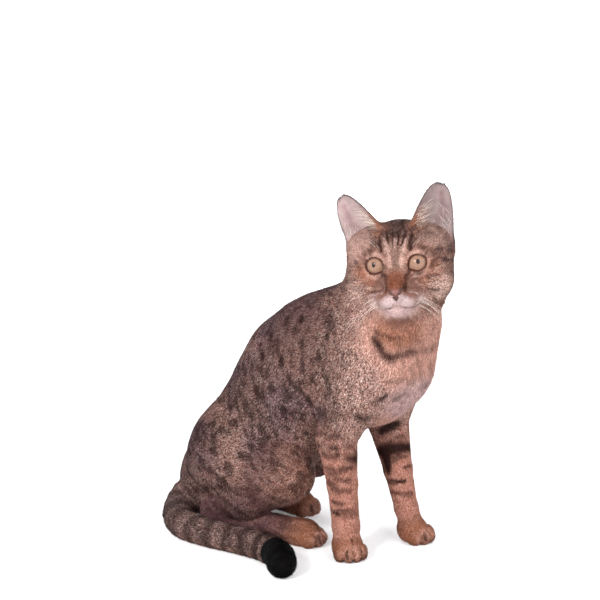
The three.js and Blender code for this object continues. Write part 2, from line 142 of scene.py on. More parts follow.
SKULL = [
    {"centre": [-12, 0, 10], "radii": [38, 38, 34]},  # cranium
    {"centre": [11, 0, 8], "radii": [19, 33, 19], "blend": 12, "style": "face"},  # brow
    {"centre": [-4, 24, -9], "radii": [27, 24, 26], "blend": 14, "pair": True},  # cheek
    {"centre": [-8, 28, 15], "radii": [19, 20, 21], "blend": 12, "pair": True},  # below the ear
    {"from": [12, 0, 4, 14], "to": [39, 0, -13, 9.5], "blend": 12, "style": "face"},  # bridge
    {"from": [-8, 0, -22, 20], "to": [23, 0, -30, 11], "blend": 12},  # jaw
    {"centre": [33, 8.5, -23.5], "radii": [12.5, 11, 8.5], "blend": 10, "pair": True, "style": "muzzle"},
    {"centre": [29, 0, -34], "radii": [13, 10, 8], "blend": 8, "style": "muzzle"},  # chin
    {"centre": [43, 0, -17], "radii": [6, 6.5, 5.5], "blend": 5, "style": "muzzle"},  # under the nose
]
EYE = {"centre": [20, 17.5, 6.5], "radius": 10.6}
# The lids are a shell round the eyeball. Their opening is an oval, seen along the socket's axis.
LIDS = {
    "thickness": 1.5,
    "blend": 6,
    "half_width": 7.3,
    "half_height": 6.7,
    "yaw": 12,
    "pitch": {"left": 5, "right": 2},
}
SOCKET_GAP = 0.15  # between the eyeball and the socket round it
CORNERS_OF_EYE = {"inner": 0.22, "outer": 0.06, "turn": 28, "sharpness": 16}  # how far they are drawn out
EAR = {"length": 49.5, "half_width": 21, "cup": 18, "wall": 2.6, "edge": 1.9, "root": 7, "blend": 9}
EARS = {
    "left": {"base": [-8, 26, 26], "turn": 18, "tilt": 17, "lean": 4},
    "right": {"base": [-8, -23.2, 26], "turn": -23, "tilt": -34, "lean": 4},
}
SIDES = {"left": 1, "right": -1}


class Style(NamedTuple):
    """How the coat grows on one kind of place."""

    depth: float  # how far the skin lies below the tips
    length: float
    width: float
    lift: float  # degrees that a tuft stands off the skin
    density: float  # tufts on a square millimetre


STYLES = {
    "body": Style(1.9, 4.9, 1.05, 14, 1.54),
    "breast": Style(2.3, 6.6, 0.95, 16, 1.6),
    "leg": Style(1.2, 3.8, 0.85, 14, 1.72),
    "foot": Style(1.0, 3.2, 0.6, 12, 2.6),
    "tail": Style(1.4, 5.2, 1.05, 16, 1.5),
    "head": Style(1.3, 4.2, 0.7, 14, 2.5),
    "face": Style(1.3, 3.6, 0.55, 12, 3.8),
    "muzzle": Style(0.9, 2.8, 0.48, 12, 4.4),
    "ear": Style(0.3, 2.6, 0.45, 9, 2.6),
}
STYLE_NAMES = list(STYLES)
FLOOR_GAP = 0.2  # how far above the floor the lowest hair tips stay

# ---------------------------------------------------------------- frames and places


def at(places):
    """Points along the part's axes from places given as [forward, left, up]."""
    p = np.asarray(places, float)
    return np.stack([p[..., 1], -p[..., 0], p[..., 2]], -1)


class Axes(NamedTuple):
    """An origin and three directions: forward, left and up as the columns of a matrix."""

    origin: np.ndarray
    columns: np.ndarray

    def inside(self, points):
        """Places along these axes from points along the part's."""
        return (points - self.origin) @ self.columns

    def outside(self, places):
        """Points along the part's axes from places along these."""
        return self.origin + np.asarray(places, float) @ self.columns.T

    def split(self, x, y, z):
        """Forward, left and up along these axes, from arrays of the part's x, y and z that fit each other."""
        dx, dy, dz = (v - float(o) for v, o in zip((x, y, z), self.origin))
        return [dx * float(c[0]) + dy * float(c[1]) + dz * float(c[2]) for c in self.columns.T]

    def moved(self, place):
        """The same directions from an origin at a place along these axes."""
        return Axes(self.outside(place), self.columns)

    def turned(self, *turns):
        """The same origin with the directions turned by each (axis, degrees) one after another."""
        columns = self.columns
        for axis, angle in turns:
            columns = columns @ rotation(axis, angle)
        return Axes(self.origin, columns)


def rotation(axis, angle):
    """The matrix of a turn about one axis, counted 0, 1 and 2, by an angle in degrees."""
    c, s = np.cos(np.radians(angle)), np.sin(np.radians(angle))
    a, b = (axis + 1) % 3, (axis + 2) % 3
    turn = np.eye(3)
    turn[a, a] = turn[b, b] = c
    turn[a, b], turn[b, a] = -s, s
    return turn


def axes_of(origin, yaw, pitch=0, roll=0):
    """Axes of something turned left by yaw, raised by pitch and rolled left up."""
    return Axes(np.asarray(origin, float), np.eye(3)).turned((2, yaw - 90), (1, -pitch), (0, roll))


HEAD_AXES = axes_of(at(HEAD["place"]), HEAD["yaw"], HEAD["pitch"], HEAD["roll"])


def mirrored(place, side):
    """A place of the head on the left for side 1 and on the right for side -1."""
    return [place[0], place[1] * side, *place[2:]]


def eye_axes(side):
    """Axes of an eye socket: its opening looks forward, outward and a little up."""
    sign = SIDES[side]
    axes = HEAD_AXES.moved(mirrored(EYE["centre"], sign))
    return axes.turned((2, LIDS["yaw"] * sign), (1, -LIDS["pitch"][side]))


def ear_axes(side):
    """Axes of an ear: where it opens, the cat's left, and its tip."""
    ear = EARS[side]
    return HEAD_AXES.moved(ear["base"]).turned((0, -ear["tilt"]), (1, -ear["lean"]), (2, ear["turn"]))


def part_offset():
    """How far the part's origin is from the floor below the chest, found from the left eye's solid."""
    low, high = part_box("eye_left")
    middle = np.array((low + high) / 2) / MM
    return middle - HEAD_AXES.outside(EYE["centre"])


OFFSET = part_offset()


def metres(points):
    """Points in the frame's metres from points in millimetres along the part's axes."""
    return (np.asarray(points) + OFFSET) * MM


# ---------------------------------------------------------------- distance fields

FAR = 60.0  # a distance that counts as far away
NEAR = 7.0  # how far from a surface its distance is still worked out
EVERYWHERE = 600.0  # past every side of the cat


def soft_min(a, b, blend):
    """The lower of two distances, rounded over a width of blend where they are near each other."""
    h = np.maximum(blend - np.abs(a - b), 0) / blend
    return np.minimum(a, b) - h * h * (blend / 4)


def soft_max(a, b, blend):
    """The higher of two distances, rounded over a width of blend where they are near each other."""
    return -soft_min(-a, -b, blend)


class Bone:
    """Distance to a ball swept from start to end while its radius goes evenly from one to the other."""

    def __init__(self, start, end, radii, style, lie=1):
        self.start = [float(v) for v in start]
        self.span = [float(v) for v in end - start]
        self.radii = [float(v) for v in radii]
        self.style = style
        self.flow = lie * (end - start) / np.linalg.norm(end - start)

    def reach(self):
        ends = np.array([self.start, np.add(self.start, self.span)])
        radii = np.array(self.radii)[:, None]
        return (ends - radii).min(0), (ends + radii).max(0)

    def __call__(self, x, y, z):
        dx, dy, dz = x - self.start[0], y - self.start[1], z - self.start[2]
        sx, sy, sz = self.span
        t = np.clip((dx * sx + dy * sy + dz * sz) / (sx * sx + sy * sy + sz * sz), 0, 1)
        first, last = self.radii
        away = np.sqrt((dx - sx * t) ** 2 + (dy - sy * t) ** 2 + (dz - sz * t) ** 2)
        return away - (first + (last - first) * t)


def body_bone(a, b, style, lie=1):
    """A bone between two places of the body, each with its radius out to the tips of the coat."""
    depth = STYLES[style].depth
    return Bone(at(a[:3]), at(b[:3]), [a[3] - depth, b[3] - depth], style, lie)


def head_bone(a, b, style, depth=None):
    """A bone between two places of the head, whose radii lose the coat's depth, or the depth given."""
    under = STYLES[style].depth if depth is None else depth
    start, end = HEAD_AXES.outside(a[:3]), HEAD_AXES.outside(b[:3])
    return Bone(start, end, [a[3] - under, b[3] - under], style)


class Lump:
    """Distance to an ellipsoid, close to true near its surface: n (n - 1) / slope, where n is 1 on it."""

    def __init__(self, axes, radii, style, depth=None, flow=None):
        self.axes = axes
        under = STYLES[style].depth if depth is None else depth
        self.radii = [float(r - under) for r in radii]
        self.style = style
        self.flow = flow

    def reach(self):
        size = np.sqrt(((self.axes.columns.T * np.array(self.radii)[:, None]) ** 2).sum(0))
        return self.axes.origin - size, self.axes.origin + size

    def __call__(self, x, y, z):
        near = slope = 0
        for place, radius in zip(self.axes.split(x, y, z), self.radii):
            share = place / radius
            near = near + share * share
            slope = slope + (share / radius) ** 2
        near = np.sqrt(np.maximum(near, 1e-6))
        return near * (near - 1) / np.sqrt(np.maximum(slope, 1e-9))


def ear_section(share):
    """An ear's half width and the depth of its cup at a share of its height: both shrink towards its tip."""
    return EAR["half_width"] * (1 - share) ** 0.4, EAR["cup"] * (1 - share) ** 0.8


class Flap:
    """Distance to an ear: a thin wall bent round its hollow.

    Across the ear, t goes from -1 to 1. Its wall stands at cup (t squared - 0.5) ahead and t half widths to
    the left, and both shrink towards the tip. The distance to that curve at the same height is measured to
    short straight pieces of it, and the wall's half thickness is taken away.
    """

    PIECES = 8  # straight pieces across its width
    MARGIN = 2  # how much wider its box is than the ear
    TOP = 0.985  # the share of its length at which its wall ends

    def __init__(self, side):
        self.axes = ear_axes(side)
        self.style = "ear"
        self.flow = self.axes.columns[:, 2]

    def reach(self):
        wide, long = EAR["half_width"] + self.MARGIN, EAR["length"] + self.MARGIN
        root = -EAR["root"] - self.MARGIN
        corners = np.array([[x, y, z] for x in (-12, 12) for y in (-wide, wide) for z in (root, long)])
        places = self.axes.outside(corners)
        return places.min(0), places.max(0)

    def __call__(self, x, y, z):
        px, py, pz = self.axes.split(x, y, z)
        height = np.clip(pz, -EAR["root"], EAR["length"] * self.TOP)
        share = np.maximum(height, 0) / EAR["length"]
        width, cup = ear_section(share)
        best = FAR
        stops = np.linspace(-1, 1, self.PIECES + 1)
        for first, last in zip(stops[:-1].tolist(), stops[1:].tolist()):
            ax, ay = cup * (first**2 - 0.5), width * first
            sx, sy = cup * (last**2 - 0.5) - ax, width * (last - first)
            s = np.clip(((px - ax) * sx + (py - ay) * sy) / (sx * sx + sy * sy), 0, 1)
            t = first + (last - first) * s
            wall = EAR["edge"] + (EAR["wall"] - EAR["edge"]) * (1 - t * t) * (1 - share)
            gap = (px - ax - sx * s) ** 2 + (py - ay - sy * s) ** 2 + (pz - height) ** 2
            best = np.minimum(best, np.sqrt(gap) - wall / 2)
        return best


class Opening:
    """Distance to the space between the lids: an oval cone from the eye's middle to a little past them."""

    PAST = 1.5  # how far it goes past the lids

    def __init__(self, side):
        self.axes = eye_axes(side)
        self.sign = SIDES[side]
        self.end = EYE["radius"] + LIDS["thickness"] + self.PAST

    def reach(self):
        return self.axes.origin - self.end, self.axes.origin + self.end

    def __call__(self, x, y, z):
        px, py, pz = self.axes.split(x, y, z)
        away = np.sqrt(np.maximum(px * px + py * py + pz * pz, 1e-6))
        cone = (lid_oval(px, py, pz, self.sign) - 1) * LIDS["half_height"]
        return np.maximum(np.maximum(cone, away - self.end), -px)


def lid_oval(px, py, pz, sign):
    """How far out a place in an eye's axes is, where 1 is the edge of the opening between the lids.

    The opening is an oval on the lids' shell. Its inner corner is drawn out towards the nose and down, its
    outer corner a little, each by a share that falls off with the cosine from its direction.
    """
    away = np.sqrt(np.maximum(px * px + py * py + pz * pz, 1e-6))
    shell = (EYE["radius"] + LIDS["thickness"] / 2) / away
    across, up = py * shell / LIDS["half_width"] * sign, pz * shell / LIDS["half_height"]
    oval = np.sqrt(np.maximum(across * across + up * up, 1e-6))
    return oval / corner_reach(across / oval, up / oval)


def corner_reach(outward, up):
    """The opening's reach in a direction with outward and upward parts, where 1 is the plain oval."""
    turn = np.radians(CORNERS_OF_EYE["turn"])
    along = outward * np.cos(turn) + up * np.sin(turn)
    inner = CORNERS_OF_EYE["inner"] * np.maximum(-along, 0) ** CORNERS_OF_EYE["sharpness"]
    return 1 + inner + CORNERS_OF_EYE["outer"] * np.maximum(along, 0) ** CORNERS_OF_EYE["sharpness"]


class Union:
    """Several fields joined one after another, each softly with what comes before it."""

    def __init__(self, parts):
        self.parts = parts

    def reach(self):
        lows, highs = zip(*(field.reach() for field, _ in self.parts))
        return np.min(lows, 0), np.max(highs, 0)

    def __call__(self, x, y, z):
        total = FAR
        for field, blend in self.parts:
            total = soft_min(total, field(x, y, z), blend)
        return total


class Carved:
    """A field with others taken out of it."""

    def __init__(self, field, cutters):
        self.field = field
        self.cutters = cutters

    def reach(self):
        return self.field.reach()

    def __call__(self, x, y, z):
        total = self.field(x, y, z)
        for cutter, blend in self.cutters:
            total = soft_max(total, -cutter(x, y, z), blend)
        return total


def sampled(field, axes):
    """A field's values on a grid of three rows of coordinates. Each piece is worked out only near itself."""
    if isinstance(field, Carved):
        values = -sampled(field.field, axes)
        return -merged(values, field.cutters, axes)
    if isinstance(field, Union):
        values = np.full([len(row) for row in axes], FAR, np.float32)
        return merged(values, field.parts, axes)
    return on_grid(field, axes)


def on_grid(field, axes):
    """A field's values at every place of a grid of three rows of coordinates."""
    x, y, z = axes
    return field(x[:, None, None], y[None, :, None], z[None, None, :])


def merged(values, parts, axes):
    """Values on a grid with each part's own joined in softly, inside the part's box widened by NEAR."""
    for part, blend in parts:
        low, high = part.reach()
        pad = blend + NEAR
        ends = zip(low - pad, high + pad)
        picks = tuple(slice(*np.searchsorted(row, pair)) for row, pair in zip(axes, ends))
        rows = [row[pick] for row, pick in zip(axes, picks)]
        if all(len(row) for row in rows):
            values[picks] = soft_min(values[picks], sampled(part, rows), blend)
    return values


def valued(field, points):
    """A field's values at some points. Each piece is worked out only for the points near itself."""
    if isinstance(field, Carved):
        return -merged_at(-valued(field.field, points), field.cutters, points)
    if isinstance(field, Union):
        return merged_at(np.full(len(points), FAR), field.parts, points)
    return field(*points.T)


def merged_at(values, parts, points):
    """Values at points with each part's own joined in softly, inside the part's box widened by NEAR."""
    for part, blend in parts:
        near = close_to(part, points, blend + NEAR)
        values[near] = soft_min(values[near], valued(part, points[near]), blend)
    return values


def close_to(piece, points, pad):
    """The numbers of the points inside a piece's box, widened by pad."""
    low, high = piece.reach()
    return np.flatnonzero(((points > low - pad) & (points < high + pad)).all(1))


# ---------------------------------------------------------------- the cat's form


def chain(places, style, blend, lie=1):
    """Bones between neighbouring places. lie is -1 where the hair runs from the last place to the first."""
    return [(body_bone(a, b, style, lie), blend) for a, b in zip(places, places[1:])]


TOES = {"radii": [9, 5.8, 8.4], "below_pad": 3, "blend": 1.6}
TOE_PLACES = [[8, -10.5], [13, -3.8], [13, 3.8], [8, 10.5]]  # ahead and to the left of the pad's middle
PAD_BLEND = 6


def foot(paw, turn):
    """A foot: a pad with four toes spread in front of it, pointing where turn says."""
    forward, left, up, radius = paw
    axes = axes_of(at([forward, left, 0]), turn)
    flow = axes.columns[:, 0]
    pad = Lump(axes.moved([0, 0, up]), [radius + 4, radius + 1, radius], "foot", flow=flow)
    places = [axes.moved([ahead, aside, up - TOES["below_pad"]]) for ahead, aside in TOE_PLACES]
    toes = [(Lump(place, TOES["radii"], "foot", flow=flow), TOES["blend"]) for place in places]
    return [(pad, PAD_BLEND), *toes]


CALF_RADIUS = 25  # half way from the knee to the hock, where the folded leg is fullest
LIMB_BLEND = 3  # small, so that a limb doesn't swell where two of its bones meet


def foreleg(leg):
    """A foreleg from its shoulder to its toes: the upper arm wears the body's coat."""
    upper = chain([leg["shoulder"], leg["elbow"]], "body", 9)
    lower = chain([leg["elbow"], leg["forearm"], leg["wrist"], leg["paw"]], "leg", LIMB_BLEND)
    return Union([*upper, *lower, *foot(leg["paw"], leg["turn"])])


def hindleg(leg):
    """A folded hind leg: thigh and calf in the body's coat, then the shank, the foot and its toes."""
    calf = [*np.mean([leg["knee"][:3], leg["hock"][:3]], axis=0), CALF_RADIUS]
    thigh = chain([calf, leg["hip"], leg["knee"]], "body", 14, lie=-1)
    shank = chain([leg["knee"], leg["hock"]], "leg", 10) + chain([leg["hock"], leg["paw"]], "leg", LIMB_BLEND)
    return Union([*thigh, *shank, *foot(leg["paw"], leg["turn"])])


TORSO = [  # chains through the spine's places, each with the coat it wears
    (["shoulders", "ribs", "middle", "loin", "rump", "seat"], "body"),
    (["breast", "chest", "shoulders"], "breast"),
    (["neck", "nape", "shoulders"], "body"),
    (["neck", "throat", "breast"], "breast"),
]
TORSO_BLEND = 22


def torso():
    """The trunk and the neck: their chains of bones, blended widely."""
    chains = [chain([SPINE[name] for name in names], style, TORSO_BLEND) for names, style in TORSO]
    return Union([bone for bones in chains for bone in bones])


def tail_line(per_piece=3):
    """Places and radii along the tail: a centripetal curve through its points, cut short by its round end."""
    points = at([p[:3] for p in TAIL])
    radii = np.array([p[3] for p in TAIL], float) - STYLES["tail"].depth
    points = np.vstack([2 * points[0] - points[1], points, 2 * points[-1] - points[-2]])
    steps = np.linalg.norm(np.diff(points, axis=0), axis=1) ** 0.5
    places, widths = [], []
    for n in range(len(TAIL) - 1):
        p0, p1, p2, p3 = points[n : n + 4]
        d0, d1, d2 = steps[n : n + 3]
        t1 = ((p1 - p0) / d0 - (p2 - p0) / (d0 + d1) + (p2 - p1) / d1) * d1
        t2 = ((p2 - p1) / d1 - (p3 - p1) / (d1 + d2) + (p3 - p2) / d2) * d1
        t = np.linspace(0, 1, per_piece, endpoint=False)[:, None]
        places.append(p1 + t1 * t + (3 * (p2 - p1) - 2 * t1 - t2) * t**2 + (2 * (p1 - p2) + t1 + t2) * t**3)
        widths.append(radii[n] + (radii[n + 1] - radii[n]) * t[:, 0])
    places = np.vstack([*places, points[-2]])
    widths = np.append(np.concatenate(widths), radii[-1])
    left = np.linalg.norm(np.diff(places, axis=0), axis=1)[::-1].cumsum()[::-1]
    keep = np.append(left > widths[-1], False)
    last = places[keep][-1]
    over = left[keep[:-1]][-1] - widths[-1]
    towards = places[np.count_nonzero(keep)] - last
    end = last + towards * over / np.linalg.norm(towards)
    return np.vstack([places[keep], end]), np.append(widths[keep], widths[-1])


def tail():
    """The tail: a bone between each two places of its line."""
    places, radii = tail_line()
    ends = zip(places, places[1:], radii, radii[1:])
    return Union([(Bone(a, b, [first, last], "tail"), 1) for a, b, first, last in ends])


def skull():
    """The head's lumps and bones, both sides of each pair, with the lids' shells and the ears."""
    parts = []
    for piece in SKULL:
        style, blend = piece.get("style", "head"), piece.get("blend", 10)
        for side in (1, -1) if piece.get("pair") else (1,):
            if "centre" in piece:
                lump = Lump(HEAD_AXES.moved(mirrored(piece["centre"], side)), piece["radii"], style)
                parts.append((lump, blend))
            else:
                parts.append((head_bone(piece["from"], piece["to"], style), blend))
    shell = EYE["radius"] + LIDS["thickness"]
    parts += [(ball(side, shell), LIDS["blend"]) for side in SIDES]
    parts += [(Flap(side), EAR["blend"]) for side in SIDES]
    return Union(parts)


def ball(side, radius):
    """A ball round the middle of an eye."""
    return Lump(eye_axes(side), [radius] * 3, "muzzle", depth=0)


# The philtrum and the mouth are shallow grooves, given by the places of their middle and their radius.
MOUTH = [[46, 0, -27.5, 0.9], [43, 5, -30.2, 1.0], [33.5, 13.5, -30.4, 1.1], [20, 19.5, -27.5, 0.8]]
GROOVES = [[[47, 0, -22.5, 0.7], MOUTH[0]]]
for stops in zip(MOUTH, MOUTH[1:]):
    GROOVES += [[mirrored(stop, sign) for stop in stops] for sign in SIDES.values()]


class Ground:
    """Height above the floor: what lies below it is cut off."""

    def reach(self):
        return np.full(3, -EVERYWHERE), np.array([EVERYWHERE, EVERYWHERE, 0.0])

    def __call__(self, x, y, z):
        return z + 0 * x + 0 * y


@functools.cache
def flesh():
    """The whole skin as one field, with the lids open, the mouth line drawn in and the soles flat."""
    forelegs = Union([(foreleg(FORELEGS[side]), 2) for side in SIDES])
    hindlegs = Union([(hindleg(HINDLEGS[side]), 2) for side in SIDES])
    body = Union([(torso(), 1), (forelegs, 10), (hindlegs, 20), (tail(), 3), (skull(), 14)])
    openings = [(Opening(side), 0.8) for side in SIDES]
    balls = [(ball(side, EYE["radius"] + SOCKET_GAP), 0.3) for side in SIDES]
    grooves = [(groove(*ends), 1.2) for ends in GROOVES]
    return Carved(body, [*openings, *balls, *grooves, (Ground(), 0.05)])


def groove(a, b):
    """A round cutter between two places of the head, each with its radius."""
    return head_bone(a, b, "muzzle", depth=0)


def every(field):
    """All the bones, lumps and flaps of a field."""
    if isinstance(field, Carved):
        return every(field.field)
    if isinstance(field, Union):
        return [piece for part, _ in field.parts for piece in every(part)]
    return [field]


# ---------------------------------------------------------------- meshing a field


def rows_between(low, high, stops):
    """Coordinates from low to high whose step is fine inside the stops' ranges: (from, to, step)."""
    steps = [low]
    while steps[-1] < high:
        step = min(size for start, end, size in stops if start <= steps[-1] < end)
        steps.append(steps[-1] + step)
    return np.array(steps, np.float32)


COARSE, FINE, FINEST = 3.5, 1.42, 0.96  # the skin mesh's steps on the body, the head and the face
GRID_MARGIN = 3  # how far the grid goes past the cat
UNDER_FLOOR = 1.37  # how many steps below the floor the grid starts, so that no row lies in it
FACE_ENDS = [[50, 0, -44], [8, 32, 0], [8, -32, 0], [30, 30, 22], [30, -30, 22]]
HEAD_ENDS = [[-46, 0, 0], [0, 46, 0], [0, -46, 0], [0, 0, -44]]


def skin_grid():
    """Three rows of coordinates round the cat, fine across the head and finest across its face."""
    low, high = flesh().field.reach()
    ears = [field.reach() for field in every(flesh()) if isinstance(field, Flap)]
    face = HEAD_AXES.outside(FACE_ENDS)
    head = np.vstack([face, HEAD_AXES.outside(HEAD_ENDS), *ears])
    rows = []
    for n in range(3):
        stops = [(-EVERYWHERE, EVERYWHERE, COARSE)]
        stops += [(part[:, n].min(), part[:, n].max(), step) for part, step in ((head, FINE), (face, FINEST))]
        start = low[n] - GRID_MARGIN if n < 2 else -COARSE * UNDER_FLOOR
        rows.append(rows_between(start, high[n] + GRID_MARGIN, stops))
    return rows


CORNERS = np.array([[i & 1, i >> 1 & 1, i >> 2] for i in range(8)])
EDGES = [(a, a | bit) for a in range(8) for bit in (1, 2, 4) if not a & bit]


def surface_nets(axes, values):
    """A mesh of where the values pass 0.

    Each grid cell with corners on both sides gets one vertex, at the mean of the places where its edges are
    crossed, and each grid edge that is crossed gets a quad between the four cells round it.
    """
    inside = values < 0
    count = np.zeros([n - 1 for n in values.shape], np.uint8)
    for i, j, k in CORNERS:
        count += inside[i : i + count.shape[0], j : j + count.shape[1], k : k + count.shape[2]]
    cells = np.argwhere((count > 0) & (count < 8))
    spot = cells[:, None, :] + CORNERS
    corner_values = values[spot[..., 0], spot[..., 1], spot[..., 2]]
    corner_places = np.stack([row[spot[..., n]] for n, row in enumerate(axes)], -1)
    total = np.zeros((len(cells), 3))
    crossings = np.zeros(len(cells))
    for a, b in EDGES:
        va, vb = corner_values[:, a], corner_values[:, b]
        crossed = (va < 0) != (vb < 0)
        share = np.where(crossed, va / np.where(crossed, va - vb, 1), 0)[:, None]
        place = corner_places[:, a] * (1 - share) + corner_places[:, b] * share
        total += np.where(crossed[:, None], place, 0)
        crossings += crossed
    points = total / crossings[:, None]
    numbers = np.full(count.shape, -1, np.int32)
    numbers[tuple(cells.T)] = np.arange(len(cells))
    quads = []
    for axis in range(3):
        here = [slice(1, n - 1) for n in values.shape]
        ahead = list(here)
        here[axis], ahead[axis] = slice(0, -1), slice(1, None)
        edge = inside[tuple(here)] != inside[tuple(ahead)]
        found = np.argwhere(edge) + [0 if n == axis else 1 for n in range(3)]
        u, v = np.eye(3, dtype=int)[(axis + 1) % 3], np.eye(3, dtype=int)[(axis + 2) % 3]
        ring = [numbers[tuple((found - step).T)] for step in (0 * u, u, u + v, v)]
        ring = np.stack(ring, 1)
        outward = inside[tuple(found.T)]
        ring[~outward] = ring[~outward, ::-1]
        quads.append(ring)
    return points, np.vstack(quads)


def slope_at(field, points, h=0.05):
    """A field's value and slope at some points, by differences over a small step."""
    value = valued(field, points)
    steps = np.eye(3) * h
    slope = [(valued(field, points + step) - valued(field, points - step)) / (2 * h) for step in steps]
    return value, np.stack(slope, -1)


SETTLING = {"times": 2, "least_slope": 0.05, "longest": 0.5}  # how the skin's points move onto its surface


@functools.cache
def skin_mesh():
    """The skin's points, their outward normals and its triangles, each quad split along its shorter diagonal.

    Each point moves down the field's slope by value / slope squared, which takes it onto the surface.
    """
    field = flesh()
    axes = skin_grid()
    points, quads = surface_nets(axes, sampled(field, axes))
    for _ in range(SETTLING["times"]):
        value, slope = slope_at(field, points)
        move = -slope * (value / np.maximum((slope**2).sum(1), SETTLING["least_slope"]))[:, None]
        size = np.linalg.norm(move, axis=1, keepdims=True)
        points = points + move * np.minimum(1, SETTLING["longest"] / np.maximum(size, 1e-9))
    points[:, 2] = np.maximum(points[:, 2], 0)
    a, b, c, d = quads.T
    short = ((points[a] - points[c]) ** 2).sum(1) < ((points[b] - points[d]) ** 2).sum(1)
    first = np.where(short[:, None], quads[:, [0, 1, 2]], quads[:, [0, 1, 3]])
    second = np.where(short[:, None], quads[:, [0, 2, 3]], quads[:, [1, 2, 3]])
    triangles = np.vstack([first, second])
    _, slope = slope_at(field, points)
    normals = slope / np.maximum(np.linalg.norm(slope, axis=1, keepdims=True), 1e-9)
    return points, normals, triangles


# ---------------------------------------------------------------- noise and masks


def lattice(cells, seed):
    """A random number from -1 to 1 for each whole-numbered cell."""
    bits = cells[..., 0] * 73856093 ^ cells[..., 1] * 19349663 ^ cells[..., 2] * 83492791 ^ seed * 26544357
    bits = (bits ^ bits >> 13) * 1274126177 & 0xFFFFFFFF
    bits = (bits ^ bits >> 16) * 2246822519 & 0xFFFFFFFF
    return bits / 2**31 - 1


def noise(points, size, seed=0):
    """Smooth noise from -1 to 1: random numbers on a lattice, blended along each axis by a cubic step."""
    scaled = points / size
    cell = np.floor(scaled).astype(np.int64)
    part = scaled - cell
    part = part * part * (3 - 2 * part)
    total = np.zeros(len(points))
    for corner in CORNERS:
        total += lattice(cell + corner, seed) * np.where(corner, part, 1 - part).prod(1)
    return total


def smooth(low, high, values):
    """0 up to low and 1 from high on, with a cubic step between them. low may be above high."""
    t = np.clip((values - low) / (high - low), 0, 1)
    return t * t * (3 - 2 * t)


def mixed(a, b, share):
    """Rows of one array moved towards those of another by a share for each."""
    return a + (b - a) * share[:, None]


def layered(ground, tone, layers):
    """Colours with tones mixed in one after another, each named with its share for each point."""
    for name, share in layers:
        ground = mixed(ground, tone[name], share)
    return ground


def all_of(colour, points):
    """One colour for all of some points."""
    return np.tile(colour, (len(points), 1))


def max_of(masks):
    """The highest of several masks at each point."""
    return functools.reduce(np.maximum, masks)


def blob(points, centre, radii, soft=0.35):
    """1 inside an ellipsoid and 0 outside it, with a soft edge that is a share of its size."""
    away = np.sqrt((((points - np.asarray(centre, float)) / radii) ** 2).sum(1))
    return smooth(1 + soft, 1 - soft, away)


def stroke(points, path, soft=0.5):
    """1 on a stroke through places that end in its half width there, and 0 a little outside it."""
    path = np.asarray(path, float)
    mask = np.zeros(len(points))
    for a, b in zip(path, path[1:]):
        wide = max(a[3], b[3]) * (1 + soft)
        low, high = np.minimum(a[:3], b[:3]) - wide, np.maximum(a[:3], b[:3]) + wide
        near = np.flatnonzero(((points > low) & (points < high)).all(1))
        span = b[:3] - a[:3]
        from_a = points[near] - a[:3]
        t = np.clip(from_a @ span / (span @ span), 0, 1)
        away = np.linalg.norm(from_a - t[:, None] * span, axis=1)
        half = a[3] + (b[3] - a[3]) * t
        mask[near] = np.maximum(mask[near], smooth(1 + soft, 1 - soft, away / half))
    return mask


def strokes(points, paths, soft, widen=1):
    """1 on any of several strokes, each widened by a factor."""
    return max_of(stroke(points, np.asarray(path) * [1, 1, 1, widen], soft) for path in paths)


def folded(places):
    """Places of the head, those on its right laid over those on its left."""
    return places * [1, 0, 1] + np.abs(places) * [0, 1, 0]


# ---------------------------------------------------------------- the lie of the coat

SHARING = 3.0  # how far one piece's coat reaches into its neighbour's
NOSE_TIP = [47, 0, -12]  # the hair of the head leads away from here
DOWNWARD = {"body": 0.25, "breast": 0.5, "tail": 0.0}
WIGGLE = [(19, 11), (6, 8)]  # sizes and degrees of the coat's turns to either side
ROUND_EYE = 17, 11  # from where to where, towards an eye, the hair comes to lead away from it


def lie_of_coat(points, normals):
    """The direction of the hair along the skin, and how much of each style a place has.

    Each bone, lump and flap gives its own direction, weighted by how near it is. On the head the hair leads
    away from the nose, and next to an eye it leads away from the eye.
    """
    shares = np.zeros((len(points), len(STYLES)))
    flow = np.zeros((len(points), 3))
    from_nose = points - HEAD_AXES.outside(NOSE_TIP)
    from_nose /= np.linalg.norm(from_nose, axis=1, keepdims=True)
    for piece in every(flesh()):
        near = close_to(piece, points, 4 * SHARING)
        weight = np.exp(-np.maximum(piece(*points[near].T), -SHARING) / SHARING)[:, None]
        shares[near, STYLE_NAMES.index(piece.style)] += weight[:, 0]
        down = [0, 0, -DOWNWARD.get(piece.style, 0)]
        flow[near] += weight * ((from_nose[near] if piece.flow is None else piece.flow) + down)
    for side in SIDES:
        place = eye_axes(side).inside(points)
        aside = np.hypot(place[:, 1], place[:, 2])
        beside = smooth(*ROUND_EYE, aside) * (place[:, 0] > 0)
        away = place * [0, 1, 1] / np.maximum(aside, 1e-6)[:, None]
        flow = mixed(flow, away @ eye_axes(side).columns.T * 2, beside)
    shares /= np.maximum(shares.sum(1, keepdims=True), 1e-9)
    flow = unit(flow - normals * (flow * normals).sum(1, keepdims=True))
    angle = sum(degrees * noise(points, size, 5) for size, degrees in WIGGLE)
    return turned_about(flow, normals, angle), shares


def unit(vectors):
    """Rows brought to a length of one."""
    return vectors / np.maximum(np.linalg.norm(vectors, axis=1, keepdims=True), 1e-9)


def turned_about(vectors, normals, degrees):
    """Vectors that lie square to their normals, turned about them."""
    angle = np.radians(degrees)[:, None]
    return vectors * np.cos(angle) + np.cross(normals, vectors) * np.sin(angle)


# ---------------------------------------------------------------- markings

